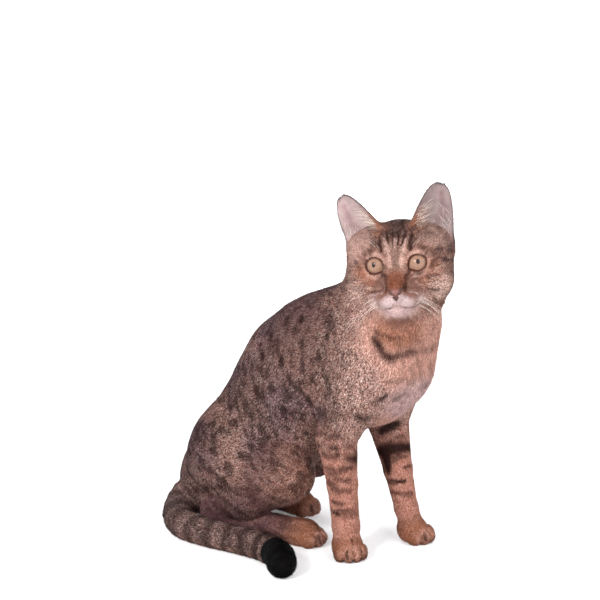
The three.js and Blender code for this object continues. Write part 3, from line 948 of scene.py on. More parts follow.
# Strokes on the head, on both sides: places [towards the nose, left, up] that end in the half width there.
HEAD_STROKES = [
    [[12, 8.8, 34.5, 1.4], [17, 7.8, 30.5, 1.4], [24.6, 5.2, 23.2, 0.8]],
    [[25.3, 1.9, 22.9, 0.6], [16.5, 2.6, 31.5, 0.9], [8, 2.8, 36, 1.2], [-4, 1.5, 40, 1.6]],
    [[13, 8.4, 33.5, 1.4], [9, 7, 36.5, 1.8], [4, 5, 39, 1.6]],
    [[11, 12, 34, 1.3], [-2, 12, 40, 1.9], [-14, 11, 42, 2.2]],
    [[2, 5, 40, 1.8], [-10, 5, 43, 2.1], [-24, 5, 41, 2.5]],
    [[13, 14.4, 30.5, 1.2], [20, 13.3, 25.7, 1.8], [27, 13.2, 18.4, 1.1]],
    [[20, 31, 5, 0.8], [13, 36, 5, 1.3], [6, 40.5, 1, 1.7], [-2, 43, -5, 2.2]],
    [[24, 27, -7.5, 0.6], [17, 34.5, -10.2, 1.1], [5, 42, -12.5, 1.8]],
    [[36, 16.5, -16.5, 0.6], [28, 22, -17.5, 0.8], [15, 34, -19, 1.4]],
    [[-14, 40, 0, 2.8], [-26, 33, -4, 3.2]],
    [[-20, 14, 38, 2.6], [-36, 12, 30, 3.2], [-46, 10, 14, 3.2]],
]
# Soft brown lines from the inner corners of the eyes down the sides of the nose.
TEAR_LINES = [[[29.5, 13.4, 6, 1.6], [33.5, 10, -2.5, 2.5], [38, 8.8, -8.5, 2.2], [44, 7.9, -13.6, 2.2]]]
# Pale lines: between the marks over the eyes, over the eyes, below them and on the cheeks.
PALE_STROKES = [
    [[16, 11.3, 30.5, 0.9], [21, 9.0, 26.5, 1.5], [25, 7.8, 22, 1.9], [31, 5.9, 11, 1.7], [33, 5, 5, 1.2]],
    [[19, 0.2, 29, 0.6], [27, 0, 20, 0.8]],
    [[28, 13.5, 15.5, 1.1], [25, 20, 16.3, 1.5], [20, 26, 14, 1.2]],
    [[29.5, 13, -3.2, 0.9], [27, 19, -4.0, 1.6], [22, 26, -2.0, 1.8], [19, 30, 3, 1.3]],
    [[12, 38, -1, 1.2], [5, 42, -6.5, 1.6]],
    [[27, 25, -12.5, 1.2], [19, 33, -14.5, 2.2], [9, 41, -16, 2.6]],
    [[18, 33, -24.5, 2.6], [8, 38, -26, 3.4]],
]
# White rays that lead back from the whisker pads.
WHITE_RAYS = [
    [[41, 9.5, -18, 1.0], [31, 20, -19, 1.1], [21, 29, -20.5, 0.7]],
    [[40, 11, -22.5, 1.3], [29, 22, -23.8, 1.3], [18, 31, -25.5, 1.0]],
    [[36, 15, -27, 1.4], [25, 25, -28.4, 1.5], [13, 33, -30, 1.1]],
]
# Brown rows between the whiskers.
WHISKER_ROWS = [
    [[41, 10, -20, 0.7], [32, 18, -21.3, 1.2], [22, 28, -22.6, 1.3]],
    [[41, 10, -24.2, 0.6], [33, 17, -25.2, 1.0], [23, 27, -26.8, 1.2]],
]
# The same on the body, on the cat's right, as [forward, left, up, half width].
BODY_STROKES = [
    [[18, -48, 216, 1.0], [30, -43.5, 208, 1.2], [38, -38.5, 206.5, 1.2], [46, -31.5, 207, 1.0]],
    [[34, -42, 168, 1.2], [36.5, -39.3, 167.5, 1.6], [42.5, -34.5, 169, 1.8], [46.5, -30.5, 169.7, 1.2]],
    [[14, -50, 155.5, 1.8], [20, -47, 154.5, 2.0]],
    [[19.5, -47.5, 147.5, 1.8], [26, -43.5, 149, 1.8], [33, -39.5, 154.5, 1.1]],
    [[38, -34, 148.5, 1.6], [42, -31, 151.5, 1.4]],
    [[40, -30, 132, 1.4], [46, -23, 135.5, 1.9], [51, -12, 140, 2.0]],
    [[56, -4, 158, 1.6], [57, 2, 160, 1.6]],
    [
        [-20, -57, 133, 1.8], [-6, -59, 136, 2.4], [8, -54, 137.5, 2.6], [14, -49, 133.5, 3.0],
        [19, -45, 130, 2.6],
    ],
    [[-31, -54, 114.5, 1.4], [-16, -59, 116, 2.0], [-4, -60, 115, 1.7]],
    [[-25, -58, 104.5, 1.6], [-8, -61, 104.5, 1.8]],
    [[-20, -60, 97, 1.3], [-6, -59, 97, 1.6]],
    [[0, -53, 93.5, 2.6], [3.5, -44, 92, 3.4], [2, -38, 90, 2.6]],
    [[-20, -59, 84, 1.3], [-9, -59, 84.4, 1.6]],
    [[-8, -59.6, 74.5, 1.4], [3, -54, 73.5, 1.7]],
    [[-8, -60, 66, 2.2], [-5, -60, 63.5, 2.2]],
    [[-1, -58, 64, 1.4], [4, -54, 63.5, 1.4]],
    [[-10, -58, 53, 1.2], [-2, -59, 52, 1.4]],
    [[-14, -55, 44, 1.2], [-3, -60, 42, 1.2]],
]
NECKLACES = [
    [[23, -46.5, 206, 1.8], [27, -45, 200, 2.2], [32.5, -41.5, 190.5, 2.8], [36.5, -39, 188, 3.2]],
    [
        [36.5, -39, 188, 3.0], [43, -33.5, 191.5, 2.6], [52, -23, 193, 2.4], [57, -5, 194.5, 2.4],
        [54, 14, 198, 2],
    ],
]
LEFT_LEG_STROKES = [  # on the inside and the front of the left foreleg
    [[16, 16, 112, 4.2], [8, 12, 110, 4.6], [2, 14, 106, 3.6]],
    [[22, 36, 88, 4.0], [21, 24, 89, 5.0], [9, 17, 88, 6.0], [0, 17, 84, 5.5]],
    [[4, 17.5, 80, 4.6], [5, 18, 70, 3.8], [6, 18.5, 64, 2.2]],
    [[22, 24, 57, 1.4], [12, 19, 57.5, 1.8], [6, 20, 56, 1.4]],
    [[20, 40, 70, 2.4], [8, 45, 70, 2.4]],
    [[19, 41, 50, 1.8], [8, 44, 50, 1.8]],
]
# Spots on the cat's right side, [forward, left, up] and half sizes along and across the coat.
FLANK_SPOTS = [
    [-66, -44, 212, 6, 2.4], [-82, -45, 197, 4.4, 3.0], [-69.6, -54, 191, 7, 2.6], [-50, -45, 216, 5, 2.2],
    [-87, -51, 178.6, 4.5, 2.6], [-62.5, -59, 179, 6.5, 2.6], [-91.8, -54, 147, 5.4, 4.0],
    [-73.7, -57, 151, 4.6, 3.6], [-105, -51, 131, 5.2, 3.4], [-118, -46.6, 112, 4.4, 2.8],
    [-132, -48, 104, 5.6, 3.2], [-90, -49, 112, 5.4, 2.6], [-97, -54.5, 92, 6.4, 2.4],
    [-73, -66, 81, 6.4, 2.6], [-55.5, -54, 85.3, 8.5, 2.4], [-38, -53, 144, 4.6, 2.2],
    [-42.5, -57.4, 196.5, 6, 2.4], [-25, -57, 186, 6, 2.4], [-74, -50, 94, 6.2, 2.4],
    [-136, -58.5, 85, 5.4, 3.0], [-157, -49, 93.4, 5, 3.0],
    [-129, -41.4, 124, 5, 2.6], [-64, -56, 132, 5.6, 2.6], [-53, -58, 163, 7, 2.4], [-80, -58, 165, 5.6, 2.6],
    [-112, -52, 150, 5, 2.6], [-150, -50, 66, 5.6, 3.0], [-118, -62, 68, 6.4, 2.8], [-92, -68, 62, 6.2, 2.8],
    [-172, -44, 78, 5, 2.6], [-106, -64, 84, 6, 2.4], [-45, -54, 118, 6, 2.2], [-30, -56, 165, 5, 2.2],
    [-60, -63, 70, 5, 2.2], [-128, -60, 52, 6, 2.6], [-20, -56, 205, 5, 2.0], [-100, -45, 168, 5, 2.4],
]
SPOT_WIDTH = 1.15  # all spots are this much wider than listed
STROKE_WIDTH = {"head": 1.2, "body": 1.75, "leg": 1.35, "necklace": 1.5}  # and strokes this much
SPOT_LEAN = [50, 130, 180], [26, 60, 76]  # how steeply spots lead forward and down, by their height
SPOT_JITTER = 6.0  # how far the left side's spots are from the mirrored places of the right side's
SPOT_BOX = [16, 26, 16]  # a spot is worked out only so near its middle
TAIL_BANDS = {"every": 21, "half_width": 4.5, "soft": 3, "black_from": 0.86, "edge": 0.02}


def tail_place(points):
    """How far along the tail each point is, from 0 at its root to 1 at its tip, and the tail's length."""
    places, _ = tail_line()
    steps = np.linalg.norm(np.diff(places, axis=0), axis=1)
    along = np.append(0, steps.cumsum())
    best, found = np.full(len(points), np.inf), np.zeros(len(points))
    for start, end, before, step in zip(places, places[1:], along, steps):
        t = np.clip((points - start) @ (end - start) / step**2, 0, 1)
        away = np.linalg.norm(points - start - t[:, None] * (end - start), axis=1)
        nearer = away < best
        best[nearer], found[nearer] = away[nearer], (before + t * step)[nearer]
    return found / along[-1], along[-1]


def body_places(points):
    """[forward, left, up] of points along the part's axes."""
    return np.stack([-points[:, 1], points[:, 0], points[:, 2]], -1)


def warped(places, size, amount, seed):
    """Places pushed about by smooth noise, which gives marks an uneven edge."""
    return places + amount * np.stack([noise(places, size, seed + n) for n in range(3)], -1)


def flank_spots(places):
    """The spots of both sides as one mask. Each is an ellipsoid, long along the coat and thin into it."""
    rng = np.random.default_rng(SEED + 3)
    mask = np.zeros(len(places))
    for side in (-1, 1):
        for forward, left, up, long, wide in FLANK_SPOTS:
            shift = rng.uniform(-1, 1, 3) * (SPOT_JITTER if side > 0 else 0)
            centre = np.array([forward, abs(left) * side, up]) + shift
            lean = np.radians(np.interp(up, *SPOT_LEAN))
            along = np.array([np.cos(lean), 0, -np.sin(lean)])
            near = np.flatnonzero((np.abs(places - centre) < SPOT_BOX).all(1))
            away = (places[near] - centre) * [1, 0.25, 1]
            t = away @ along
            across = np.sqrt(np.maximum((away**2).sum(1) - t * t, 0))
            size = np.hypot(t / long, across / (wide * SPOT_WIDTH))
            mask[near] = np.maximum(mask[near], smooth(1.5, 0.6, size) * rng.uniform(0.7, 1))
    return mask


def linear(code):
    """Linear red, green and blue of a six-digit colour code."""
    parts = np.array([int(code[n : n + 2], 16) / 255 for n in (0, 2, 4)])
    return tuple(float(v) for v in np.where(parts > 0.04045, ((parts + 0.055) / 1.055) ** 2.4, parts / 12.92))


def coat_colour(points, normals, shares, tones):
    """The coat's colour at some places: a ground that goes from zone to zone, and the dark marks on it."""
    tone = {name: np.array(value) for name, value in tones.items()}
    style = {name: shares[:, n] for n, name in enumerate(STYLE_NAMES)}
    body, head = body_places(points), HEAD_AXES.inside(points)
    on_head = np.clip(style["head"] + style["face"] + style["muzzle"], 0, 1)
    colour = body_ground(points, normals, style, tone)
    colour = mixed(colour, head_ground(head, tone), on_head)
    # The marks also hold painted shade between the toes.
    marks = np.maximum(head_marks(head) * on_head, body_marks(body, style))
    black_from = TAIL_BANDS["black_from"]
    along, _ = tail_place(points)
    tip = smooth(black_from - TAIL_BANDS["edge"], black_from, along) * smooth(0.3, 0.6, style["tail"])
    colour = layered(colour, tone, [("dark", np.clip(marks, 0, 1)), ("black", tip)])
    return mixed(colour, ear_colour(points, tone), smooth(0.25, 0.6, style["ear"]))


def body_ground(points, normals, style, tone):
    """The colour of trunk, legs and tail without marks: dark along the spine, warm low down and in front."""
    body, facing = body_places(points), body_places(normals)
    torso, leg = style["body"], style["leg"]
    dorsal = facing @ [-0.74, 0, 0.67]
    low_warm = smooth(85, 50, body[:, 2]) * smooth(-98, -66, body[:, 0]) + smooth(-0.35, -0.85, dorsal)
    front = smooth(-28, 20, body[:, 0]) * np.clip(style["breast"] + torso * 0.55, 0, 1)
    pale_front = blob(body, [45, -8, 147], [30, 34, 22]) * smooth(-0.3, 0.3, facing[:, 0])
    ground = layered(all_of(tone["flank"], points), tone, [
        ("back", smooth(0.1, 0.85, dorsal) * torso),
        ("mauve", smooth(-0.1, 0.6, noise(body, 34, 71)) * torso * 0.6),
        ("belly", smooth(0.0, 0.7, noise(body, 30, 72)) * torso * 0.6),
        ("belly", np.clip(low_warm, 0, 1) * torso),
        ("breast", front),
        ("chest", pale_front * 0.6),
        ("throat", blob(body, [40, -32, 212], [20, 26, 17]) * 0.85),
        ("leg", leg * (0.15 + 0.85 * smooth(-70, -45, body[:, 0]))),
        ("back", leg * smooth(-60, -90, body[:, 0]) * 0.8),
        ("foot", np.clip(style["foot"] * 1.3, 0, 1)),
        ("toe", toes(points) * (0.75 + 0.5 * noise(body, 3, 73))),
    ])
    under_tail = smooth(-0.1, -0.8, facing[:, 2])
    return mixed(ground, mixed(all_of(tone["tail"], points), tone["belly"], under_tail), style["tail"])


def head_ground(head, tone):
    """The head's colour without its stripes: dark crown, warm cheeks, pale bridge, muzzle and eye edges."""
    both, streaks = folded(head), face_streaks(head)
    ragged = warped(both, 4, 1.4, 36) * (1 + 0.05 * streaks)[:, None]
    slanting = ragged + 0.4 * ragged[:, 1:2] * [0, 0, 1]
    below = max_of(ear_foot(head, side) for side in SIDES)
    plain = smooth(-20, -14, head[:, 2]) * (1 - below * 0.5)
    # The head below each ear takes that side's painted shade.
    shade = np.where(head[:, 1:2] > 0, EAR_FOOT_PAINTED_SHADE["left"], EAR_FOOT_PAINTED_SHADE["right"])
    face = layered(all_of(tone["face"], head), {**tone, "ear_foot": tone["ear_foot"] * shade}, [
        ("crown", smooth(25, 34, head[:, 2]) * smooth(25, 12, np.abs(head[:, 1]))),
        ("crown", smooth(-8, -34, head[:, 0]) * 0.85),
        ("throat", smooth(-14, -30, head[:, 2]) * smooth(24, 6, head[:, 0]) * 0.5),
        ("cheek", blob(both, [20, 30, -4], [18, 12, 12]) * 0.8),
        *(("halo", eye_halo(head, side) * 0.65) for side in SIDES),
        ("ear_foot", below * 0.9),
        *(("ear_root", ear_root(head, side) * 0.9) for side in SIDES),
        ("crown", smooth(0.0, 0.5, streaks) * plain * 0.85),
        ("halo", smooth(-0.1, -0.6, streaks) * plain * 0.35),
        ("bridge", blob(head, [32, 0, 6], [16, 7.5, 15], 0.5) * 0.9),
        ("rust", blob(head, [41, 0, -6.5], [11, 10, 10], 0.4) * 0.95),
        ("halo", strokes(ragged, PALE_STROKES, 0.8) * 0.9),
        ("halo", pale_cheek(ragged) * 0.85),
        ("halo", blob(ragged, [26, 15, -33], [14, 12, 7], 0.9) * 0.6),
        ("muzzle", blob(slanting, [42, 6.5, -22], [12, 8.5, 6], 0.5)),
        ("muzzle", strokes(ragged, WHITE_RAYS, 0.9) * 0.8),
        ("muzzle", blob(ragged, [30, 17, -26], [12, 11, 5], 0.8) * 0.5),
        ("cheek", strokes(ragged, WHISKER_ROWS, 0.9) * 0.8),
        ("chin", blob(ragged, [34, 0, -33.5], [16, 14.5, 6.3], 0.6)),
        ("tear", strokes(ragged, TEAR_LINES, 0.8) * 0.9),
        ("tear", lips(head)),
    ])
    rough = noise(head, 7, 21) * 0.14 + noise(head, 3, 22) * 0.12
    return face * (1 + rough)[:, None]


def eye_halo(head, side):
    """1 in the pale ring round an eye."""
    place = eye_axes(side).inside(HEAD_AXES.outside(head))
    return smooth(12.4, 9.2, np.hypot(place[:, 1], place[:, 2])) * (place[:, 0] > 0)


def ear_root(head, side):
    """1 on the warm patch of the head at the inner root of an ear."""
    place = ear_axes(side).inside(HEAD_AXES.outside(head))
    return blob(place, [4, -SIDES[side] * 17, 0], [12, 8, 13], 0.7)


def pale_cheek(both):
    """1 low on the outside of a cheek, where the coat is pale and has few flecks."""
    return blob(both, [13, 37, -19], [12, 9, 12], 0.8)


def face_streaks(head):
    """Noise from about -1 to 1 in narrow streaks that lead away from the nose, as the face's markings do."""
    from_nose = head - NOSE_TIP
    away = np.linalg.norm(from_nose, axis=1, keepdims=True)
    place = from_nose / away * (35 + 0.25 * (away - 35))
    return 0.65 * noise(place, 2.6, 37) + 0.45 * noise(place, 1.4, 38)


def ear_foot(head, side):
    """1 on the head just below an ear's opening, fading downward and to the back."""
    place = ear_axes(side).inside(HEAD_AXES.outside(head))
    below = smooth(-11, 2, place[:, 2]) * smooth(-9, 2, place[:, 0]) * smooth(25, 14, np.abs(place[:, 1]))
    return below * smooth(-20, 2, place[:, 1] * SIDES[side])


def head_marks(head):
    """The head's stripes with uneven edges, mottling on its crown, and flecks on its sides and its back."""
    both = folded(warped(head, 5, 1.1, 31))
    marks = strokes(both, HEAD_STROKES, 0.7, STROKE_WIDTH["head"])
    marks = marks * np.where(head[:, 0] + head[:, 2] > 30, 0.88, 0.75)
    mottle = smooth(0.05, 0.5, noise(head * [1, 1.7, 1], 4, 33)) * smooth(26, 36, head[:, 2]) * 0.35
    flecks = smooth(0.15, 0.6, noise(head * [0.6, 1, 2.2], 6, 34)) * smooth(32, 16, head[:, 0]) * 0.5
    clear = 1 - max_of(ear_foot(head, side) for side in SIDES)
    return max_of([marks, mottle, flecks * clear * (1 - 0.8 * pale_cheek(both))])


def body_marks(body, style):
    """Necklaces, leg bars, flank spots and the tail's bands, all with uneven edges, and painted shade between
    the toes.
    """
    places = warped(body, 7, 1.6, 41)
    torso, breast, leg = style["body"], style["breast"], style["leg"]
    broken = 0.65 + 0.35 * smooth(-0.5, 0.3, noise(body, 8, 45))
    spots = flank_spots(warped(body, 4, 1.4, 44)) * np.clip(torso + breast, 0, 1)
    dashed = torso * (0.3 + 0.45 * smooth(10, -30, body[:, 0])) + breast * 0.3
    dashed = dashed + leg * smooth(-25, -40, body[:, 0]) * 0.6
    bars = smooth(0.1, 0.5, noise(body * [0.5, 0.5, 1.3], 6.5, 51)) * leg
    return max_of([
        strokes(places, BODY_STROKES, 0.9, STROKE_WIDTH["body"]) * broken,
        strokes(places, NECKLACES, 1.0, STROKE_WIDTH["necklace"]),
        strokes(places, LEFT_LEG_STROKES, 0.6, STROKE_WIDTH["leg"]),
        spots,
        dashes(body) * dashed,
        bars * 0.75 * smooth(30, 50, body[:, 2]),
        toe_gap_shade(at(body)) * 0.85,
        tail_bands(body, places) * smooth(0.3, 0.7, style["tail"]),
    ])


def tail_bands(body, places):
    """Rings round the tail at even distances along it, pushed about by noise and darker towards its tip."""
    t, length = tail_place(at(places))
    wavy = t * length / TAIL_BANDS["every"] + 0.3 + 0.3 * noise(body, 16, 53)
    turn = np.abs(wavy % 1 - 0.5) * TAIL_BANDS["every"]
    half, soft = TAIL_BANDS["half_width"], TAIL_BANDS["soft"]
    bands = smooth(half + soft, half - soft, turn) * (0.25 + 0.75 * t)
    return np.maximum(bands, smooth(0.1, 0.5, noise(body, 5, 54)) * (0.3 + 0.4 * t))


def dashes(body):
    """Short soft dashes all over the body that lead forward and down: stretched noise past a threshold."""
    field, power = np.zeros(len(body)), np.zeros(len(body))
    heights, leans = SPOT_LEAN
    for one, degrees in zip(np.eye(len(heights)), leans):
        lean = np.radians(degrees)
        share = np.interp(body[:, 2], heights, one)
        along = body[:, 0] * np.cos(lean) - body[:, 2] * np.sin(lean)
        across = body[:, 0] * np.sin(lean) + body[:, 2] * np.cos(lean)
        place = np.stack([along / 2.8, body[:, 1] / 1.8, across], -1)
        field += share * (noise(place, 3.3, 47) + 0.5 * noise(place, 1.8, 48))
        power += share**2
    return smooth(0.05, 0.55, field / np.sqrt(power))


def paw_places(points):
    """Places along the axes of each of the four feet, from the floor under the foot's middle."""
    for leg in [*FORELEGS.values(), *HINDLEGS.values()]:
        forward, left, *_ = leg["paw"]
        yield axes_of(at([forward, left, 0]), leg["turn"]).inside(points)


def toes(points):
    """1 on the toes of all four feet, which are paler than the rest."""
    return max_of(blob(place, [18, 0, 8], [9, 17, 9], 0.5) for place in paw_places(points))


# Dark lines of painted shade between the toes, where the shallow gaps are hidden by the coat.
TOE_GAPS = -7.2, 0, 7.2  # how far to the left of a foot's middle each gap is
TOE_REACH = 23  # how far ahead of it the middle gap ends


def toe_gap_shade(points):
    """Painted shade in the gaps between the toes of all four feet, as dark lines."""
    lines = []
    for aside in TOE_GAPS:
        reach = TOE_REACH - 0.05 * aside * aside
        lines.append([[10, aside * 0.92, 21, 0.8], [reach - 3, aside, 14, 1.5], [reach, aside, 4, 1.7]])
    return max_of(strokes(place, lines, 0.7) for place in paw_places(points))


EAR_PAINTED_SHADE = {"left": 0.54, "right": 0.82}  # painted shade inside each ear, deeper in the left ear, which is turned away from the light
EAR_FOOT_PAINTED_SHADE = {"left": 0.62, "right": 0.85}  # painted shade on the head below each ear, deeper on the left to meet the left ear's painted shade
EAR_FOLD_SHADE = [[0, 5, 6, 2.4], [0, 9, 24, 3.0], [0, 3, 42, 1.6]]  # painted shade in an ear's fold, up the inside of the ear on its outer side


def ear_colour(points, tone):
    """Pale pink skin inside the ears with painted shade, deeper in the left ear and in their fold, and
    painted light and shade of ridges; a warm patch at their inner root, a dark edge and a dark grey back.
    """
    colours = np.zeros((len(points), 3))
    best = np.full(len(points), np.inf)
    for side, sign in SIDES.items():
        # shade is this ear's painted shade, which darkens its inside
        place, shade = ear_axes(side).inside(points), EAR_PAINTED_SHADE[side]
        share = np.clip(place[:, 2] / EAR["length"], 0, 0.999)
        width, cup = ear_section(share)
        across = place[:, 1] / width
        inside = smooth(-0.5, 0.5, place[:, 0] - cup * (across**2 - 0.5))
        # painted shade along the ear's fold
        fold = strokes(place * [0, 1, 1], [[mirrored(stop, sign) for stop in EAR_FOLD_SHADE]], 1.0)
        edge = smooth(0.93, 1.0, np.abs(across)) + smooth(0.95, 0.985, share)
        hollow = mixed(all_of(tone["ear"] * shade, points), tone["ear_fold"] * shade, fold * 0.6)
        colour = mixed(all_of(tone["ear_back"], points), hollow, inside)
        # The ear's base fades to the head's colour below it, darkened by the ear's painted shade.
        colour = mixed(colour, tone["ear_foot"] * shade * 0.9, smooth(14, -2, place[:, 2]) * inside)
        colour = layered(colour, tone, [
            ("ear_root", smooth(34, 8, place[:, 2]) * smooth(0.0, 0.6, -sign * across) * 0.9),
            ("ear_back", np.clip(edge, 0, 1) * 0.55),
        ])
        # painted light and shade of ridges: streaky noise that lightens and darkens the ear
        painted_ridges = noise(place * [0.5, 0.35, 1.3], 4.5, 61) * 0.5 + noise(place * [1, 1, 0.35], 3, 62) * 0.5
        colour = colour * (1 + 0.2 * painted_ridges)[:, None]
        away = np.linalg.norm(place - [0, 0, EAR["length"] / 2], axis=1)
        nearer = away < best
        colours[nearer], best[nearer] = colour[nearer], away[nearer]
    return colours


# ---------------------------------------------------------------- meshes in Blender


def add_piece(name, points, faces, material, slot, replaces=()):
    """An object from points in millimetres and equal-sized faces, riding on the cat's one body."""
    mesh = bpy.data.meshes.new(name)
    faces = np.asarray(faces, np.int32)
    sides = faces.shape[1]
    mesh.vertices.add(len(points))
    mesh.vertices.foreach_set("co", metres(points).astype(np.float32).ravel())
    mesh.loops.add(faces.size)
    mesh.loops.foreach_set("vertex_index", faces.ravel())
    mesh.polygons.add(len(faces))
    mesh.polygons.foreach_set("loop_start", np.arange(0, faces.size, sides, dtype=np.int32))
    mesh.polygons.foreach_set("loop_total", np.full(len(faces), sides, np.int32))
    mesh.polygons.foreach_set("use_smooth", np.full(len(faces), True))
    mesh.update(calc_edges=True)
    mesh.validate()
    mesh.materials.append(material)
    piece = bpy.data.objects.new(name, mesh)
    bpy.context.scene.collection.objects.link(piece)
    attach(piece, "root")
    if replaces:
        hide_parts(*replaces)
    return piece


def add_attribute(piece, name, kind, values):
    """A value for each point of a piece's mesh, read by its material."""
    layer = piece.data.attributes.new(name, kind, "POINT")
    key = {"FLOAT": "value", "FLOAT_VECTOR": "vector", "FLOAT_COLOR": "color"}[kind]
    layer.data.foreach_set(key, np.asarray(values, np.float32).ravel())


def add_map(piece, places):
    """The piece's OFBake map, from a place for each point, or for each corner of a face."""
    layer = piece.data.uv_layers.new(name="OFBake")
    if len(places) == len(piece.data.vertices):
        corners = np.zeros(len(piece.data.loops), np.int32)
        piece.data.loops.foreach_get("vertex_index", corners)
        places = places[corners]
    layer.data.foreach_set("uv", np.asarray(places, np.float32).ravel())


UNWRAP = {"angle_limit": np.radians(66), "island_margin": 0.004}


def unwrapped(points, triangles):
    """A place in the unit square for each corner of each triangle, from a plain unwrap of their own shape."""
    used, corners = np.unique(triangles, return_inverse=True)
    mesh = bpy.data.meshes.new("unwrap")
    mesh.from_pydata((points[used] * MM).tolist(), [], corners.reshape(-1, 3).tolist())
    flat = bpy.data.objects.new("unwrap", mesh)
    bpy.context.scene.collection.objects.link(flat)
    bpy.context.view_layer.objects.active = flat
    flat.select_set(True)
    bpy.ops.object.mode_set(mode="EDIT")
    bpy.ops.mesh.select_all(action="SELECT")
    bpy.ops.uv.smart_project(**UNWRAP)
    bpy.ops.object.mode_set(mode="OBJECT")
    places = np.zeros(len(mesh.loops) * 2, np.float32)
    mesh.uv_layers.active.data.foreach_get("uv", places)
    bpy.data.objects.remove(flat)
    bpy.data.meshes.remove(mesh)
    return places.reshape(-1, 3, 2)


# ---------------------------------------------------------------- shader maths


class Value:
    """A socket of a node tree that takes part in sums: each operator adds its Math node."""

    def __init__(self, tree, socket):
        self.tree, self.socket = tree, socket

    def math(self, operation, *others):
        """The value and others put through one operation, in their order."""
        return self.tree.node("ShaderNodeMath", {"operation": operation}, dict(enumerate([self, *others])))

    def __add__(self, other):
        return self.math("ADD", other)

    def __sub__(self, other):
        return self.math("SUBTRACT", other)

    def __rsub__(self, other):
        return self.math("MULTIPLY_ADD", -1.0, other)

    def __mul__(self, other):
        return self.math("MULTIPLY", other)

    def __truediv__(self, other):
        return self.math("DIVIDE", other)

    def __pow__(self, other):
        return self.math("POWER", other)

    __radd__ = __add__
    __rmul__ = __mul__

    def smooth(self, low, high):
        """0 up to low and 1 from high on, with a smooth step between them."""
        settings = {"interpolation_type": "SMOOTHSTEP"}
        inputs = {"Value": self, "From Min": low, "From Max": high, "To Min": 0.0, "To Max": 1.0}
        return self.tree.node("ShaderNodeMapRange", settings, inputs)


class Tree:
    """A new material's nodes round one Principled shader."""

    def __init__(self, name, **constants):
        self.material = bpy.data.materials.new(name)
        self.material.use_nodes = True
        self.nodes = self.material.node_tree.nodes
        self.shader = self.nodes["Principled BSDF"]
        for socket, value in constants.items():
            self.shader.inputs[socket.replace("_", " ")].default_value = value

    def node(self, kind, settings=None, inputs=None, output=0):
        """Any node: its settings first, then the values or links of its sockets. Gives one output."""
        made = self.nodes.new(kind)
        for key, value in (settings or {}).items():
            setattr(made, key, value)
        for key, value in (inputs or {}).items():
            if isinstance(value, Value):
                self.material.node_tree.links.new(value.socket, made.inputs[key])
            else:
                made.inputs[key].default_value = value
        return Value(self, made.outputs[output])

    def set(self, socket, value):
        """Links a value to a socket of the shader."""
        self.material.node_tree.links.new(value.socket, self.shader.inputs[socket])

    def attribute(self, name, output="Fac"):
        """An attribute of the mesh."""
        return self.node("ShaderNodeAttribute", {"attribute_name": name}, output=output)

    def noise(self, scale, detail=2.0, place=None, rough=0.5):
        """Noise from 0 to 1 with a number of lumps to a metre, at the object's own places or another."""
        place = place or self.node("ShaderNodeTexCoord", output="Object")
        inputs = {"Vector": place, "Scale": scale, "Detail": detail, "Roughness": rough}
        return self.node("ShaderNodeTexNoise", {}, inputs, "Fac")

    def mix(self, a, b, share, blend="MIX"):
        """One colour mixed into another."""
        settings = {"data_type": "RGBA", "blend_type": blend, "clamp_factor": True}
        a, b = (v if isinstance(v, Value) else (*v, 1.0)[:4] for v in (a, b))
        return self.node("ShaderNodeMix", settings, {0: share, 6: a, 7: b}, output=2)

    def grey(self, value):
        """A number as a colour of equal parts."""
        return self.node("ShaderNodeCombineColor", {}, {0: value, 1: value, 2: value})

    def bump(self, height, distance, strength):
        """A normal tilted by the slope of a height, whose full rise is a distance in metres."""
        inputs = {"Height": height, "Distance": distance, "Strength": strength}
        return self.node("ShaderNodeBump", {}, inputs)


def fur_material():
    """Tufts: the coat's colour, dark at the root, and banded with sandy specks where they are ticked."""
    tree = Tree("short fur", Specular_IOR_Level=0.06)
    colour = tree.attribute("coat", "Color")
    tip, lot, tick = tree.attribute("coat", "Alpha"), tree.attribute("lot"), tree.attribute("tick")
    along = tip + 0.36 * lot - 0.18
    root = 0.6 + 0.4 * tip.smooth(0.0, 0.35)
    pale = along.smooth(0.3, 0.4) * (1.0 - along.smooth(0.55, 0.66))
    specks = tree.noise(680.0, 2.0, rough=0.7).smooth(0.4, 0.6)
    light = tree.node("ShaderNodeRGBToBW", {}, {0: colour})
    sandy = tree.mix(tree.grey(light * 1.15), (1.0, 0.77, 0.7), 1.0, "MULTIPLY")
    colour = tree.mix(colour, sandy, 0.6 * specks * tick)
    band = 1.0 + tick * (0.5 * pale - 0.5 * along.smooth(0.68, 0.8) + 1.3 * specks - 0.6)
    shade = (0.86 + 0.28 * lot) * (0.88 + 0.24 * tree.noise(70.0, 3.0))
    tree.set("Base Color", tree.mix(colour, tree.grey(root * band * shade), 1.0, "MULTIPLY"))
    tree.set("Roughness", 0.72 - 0.16 * tip)
    return tree.material


def skin_material():
    """The close undercoat on the skin: the coat's colour, broken up and made uneven by fine short hairs."""
    tree = Tree("undercoat", Specular_IOR_Level=0.1)
    colour = tree.attribute("coat", "Color")
    bare = tree.attribute("bare")
    fine = tree.noise(900.0, 3.0, rough=0.6)
    broad = tree.noise(160.0, 2.0)
    covered = 0.55 + 0.5 * fine + 0.2 * (broad - 0.5)
    uncovered = 0.88 + 0.24 * fine
    shade = covered + (uncovered - covered) * bare
    tree.set("Base Color", tree.mix(colour, tree.grey(shade), 1.0, "MULTIPLY"))
    tree.set("Roughness", 0.82 - 0.25 * bare)
    tree.set("Normal", tree.bump(fine + 0.5 * broad, 0.0006, 0.6))
    return tree.material


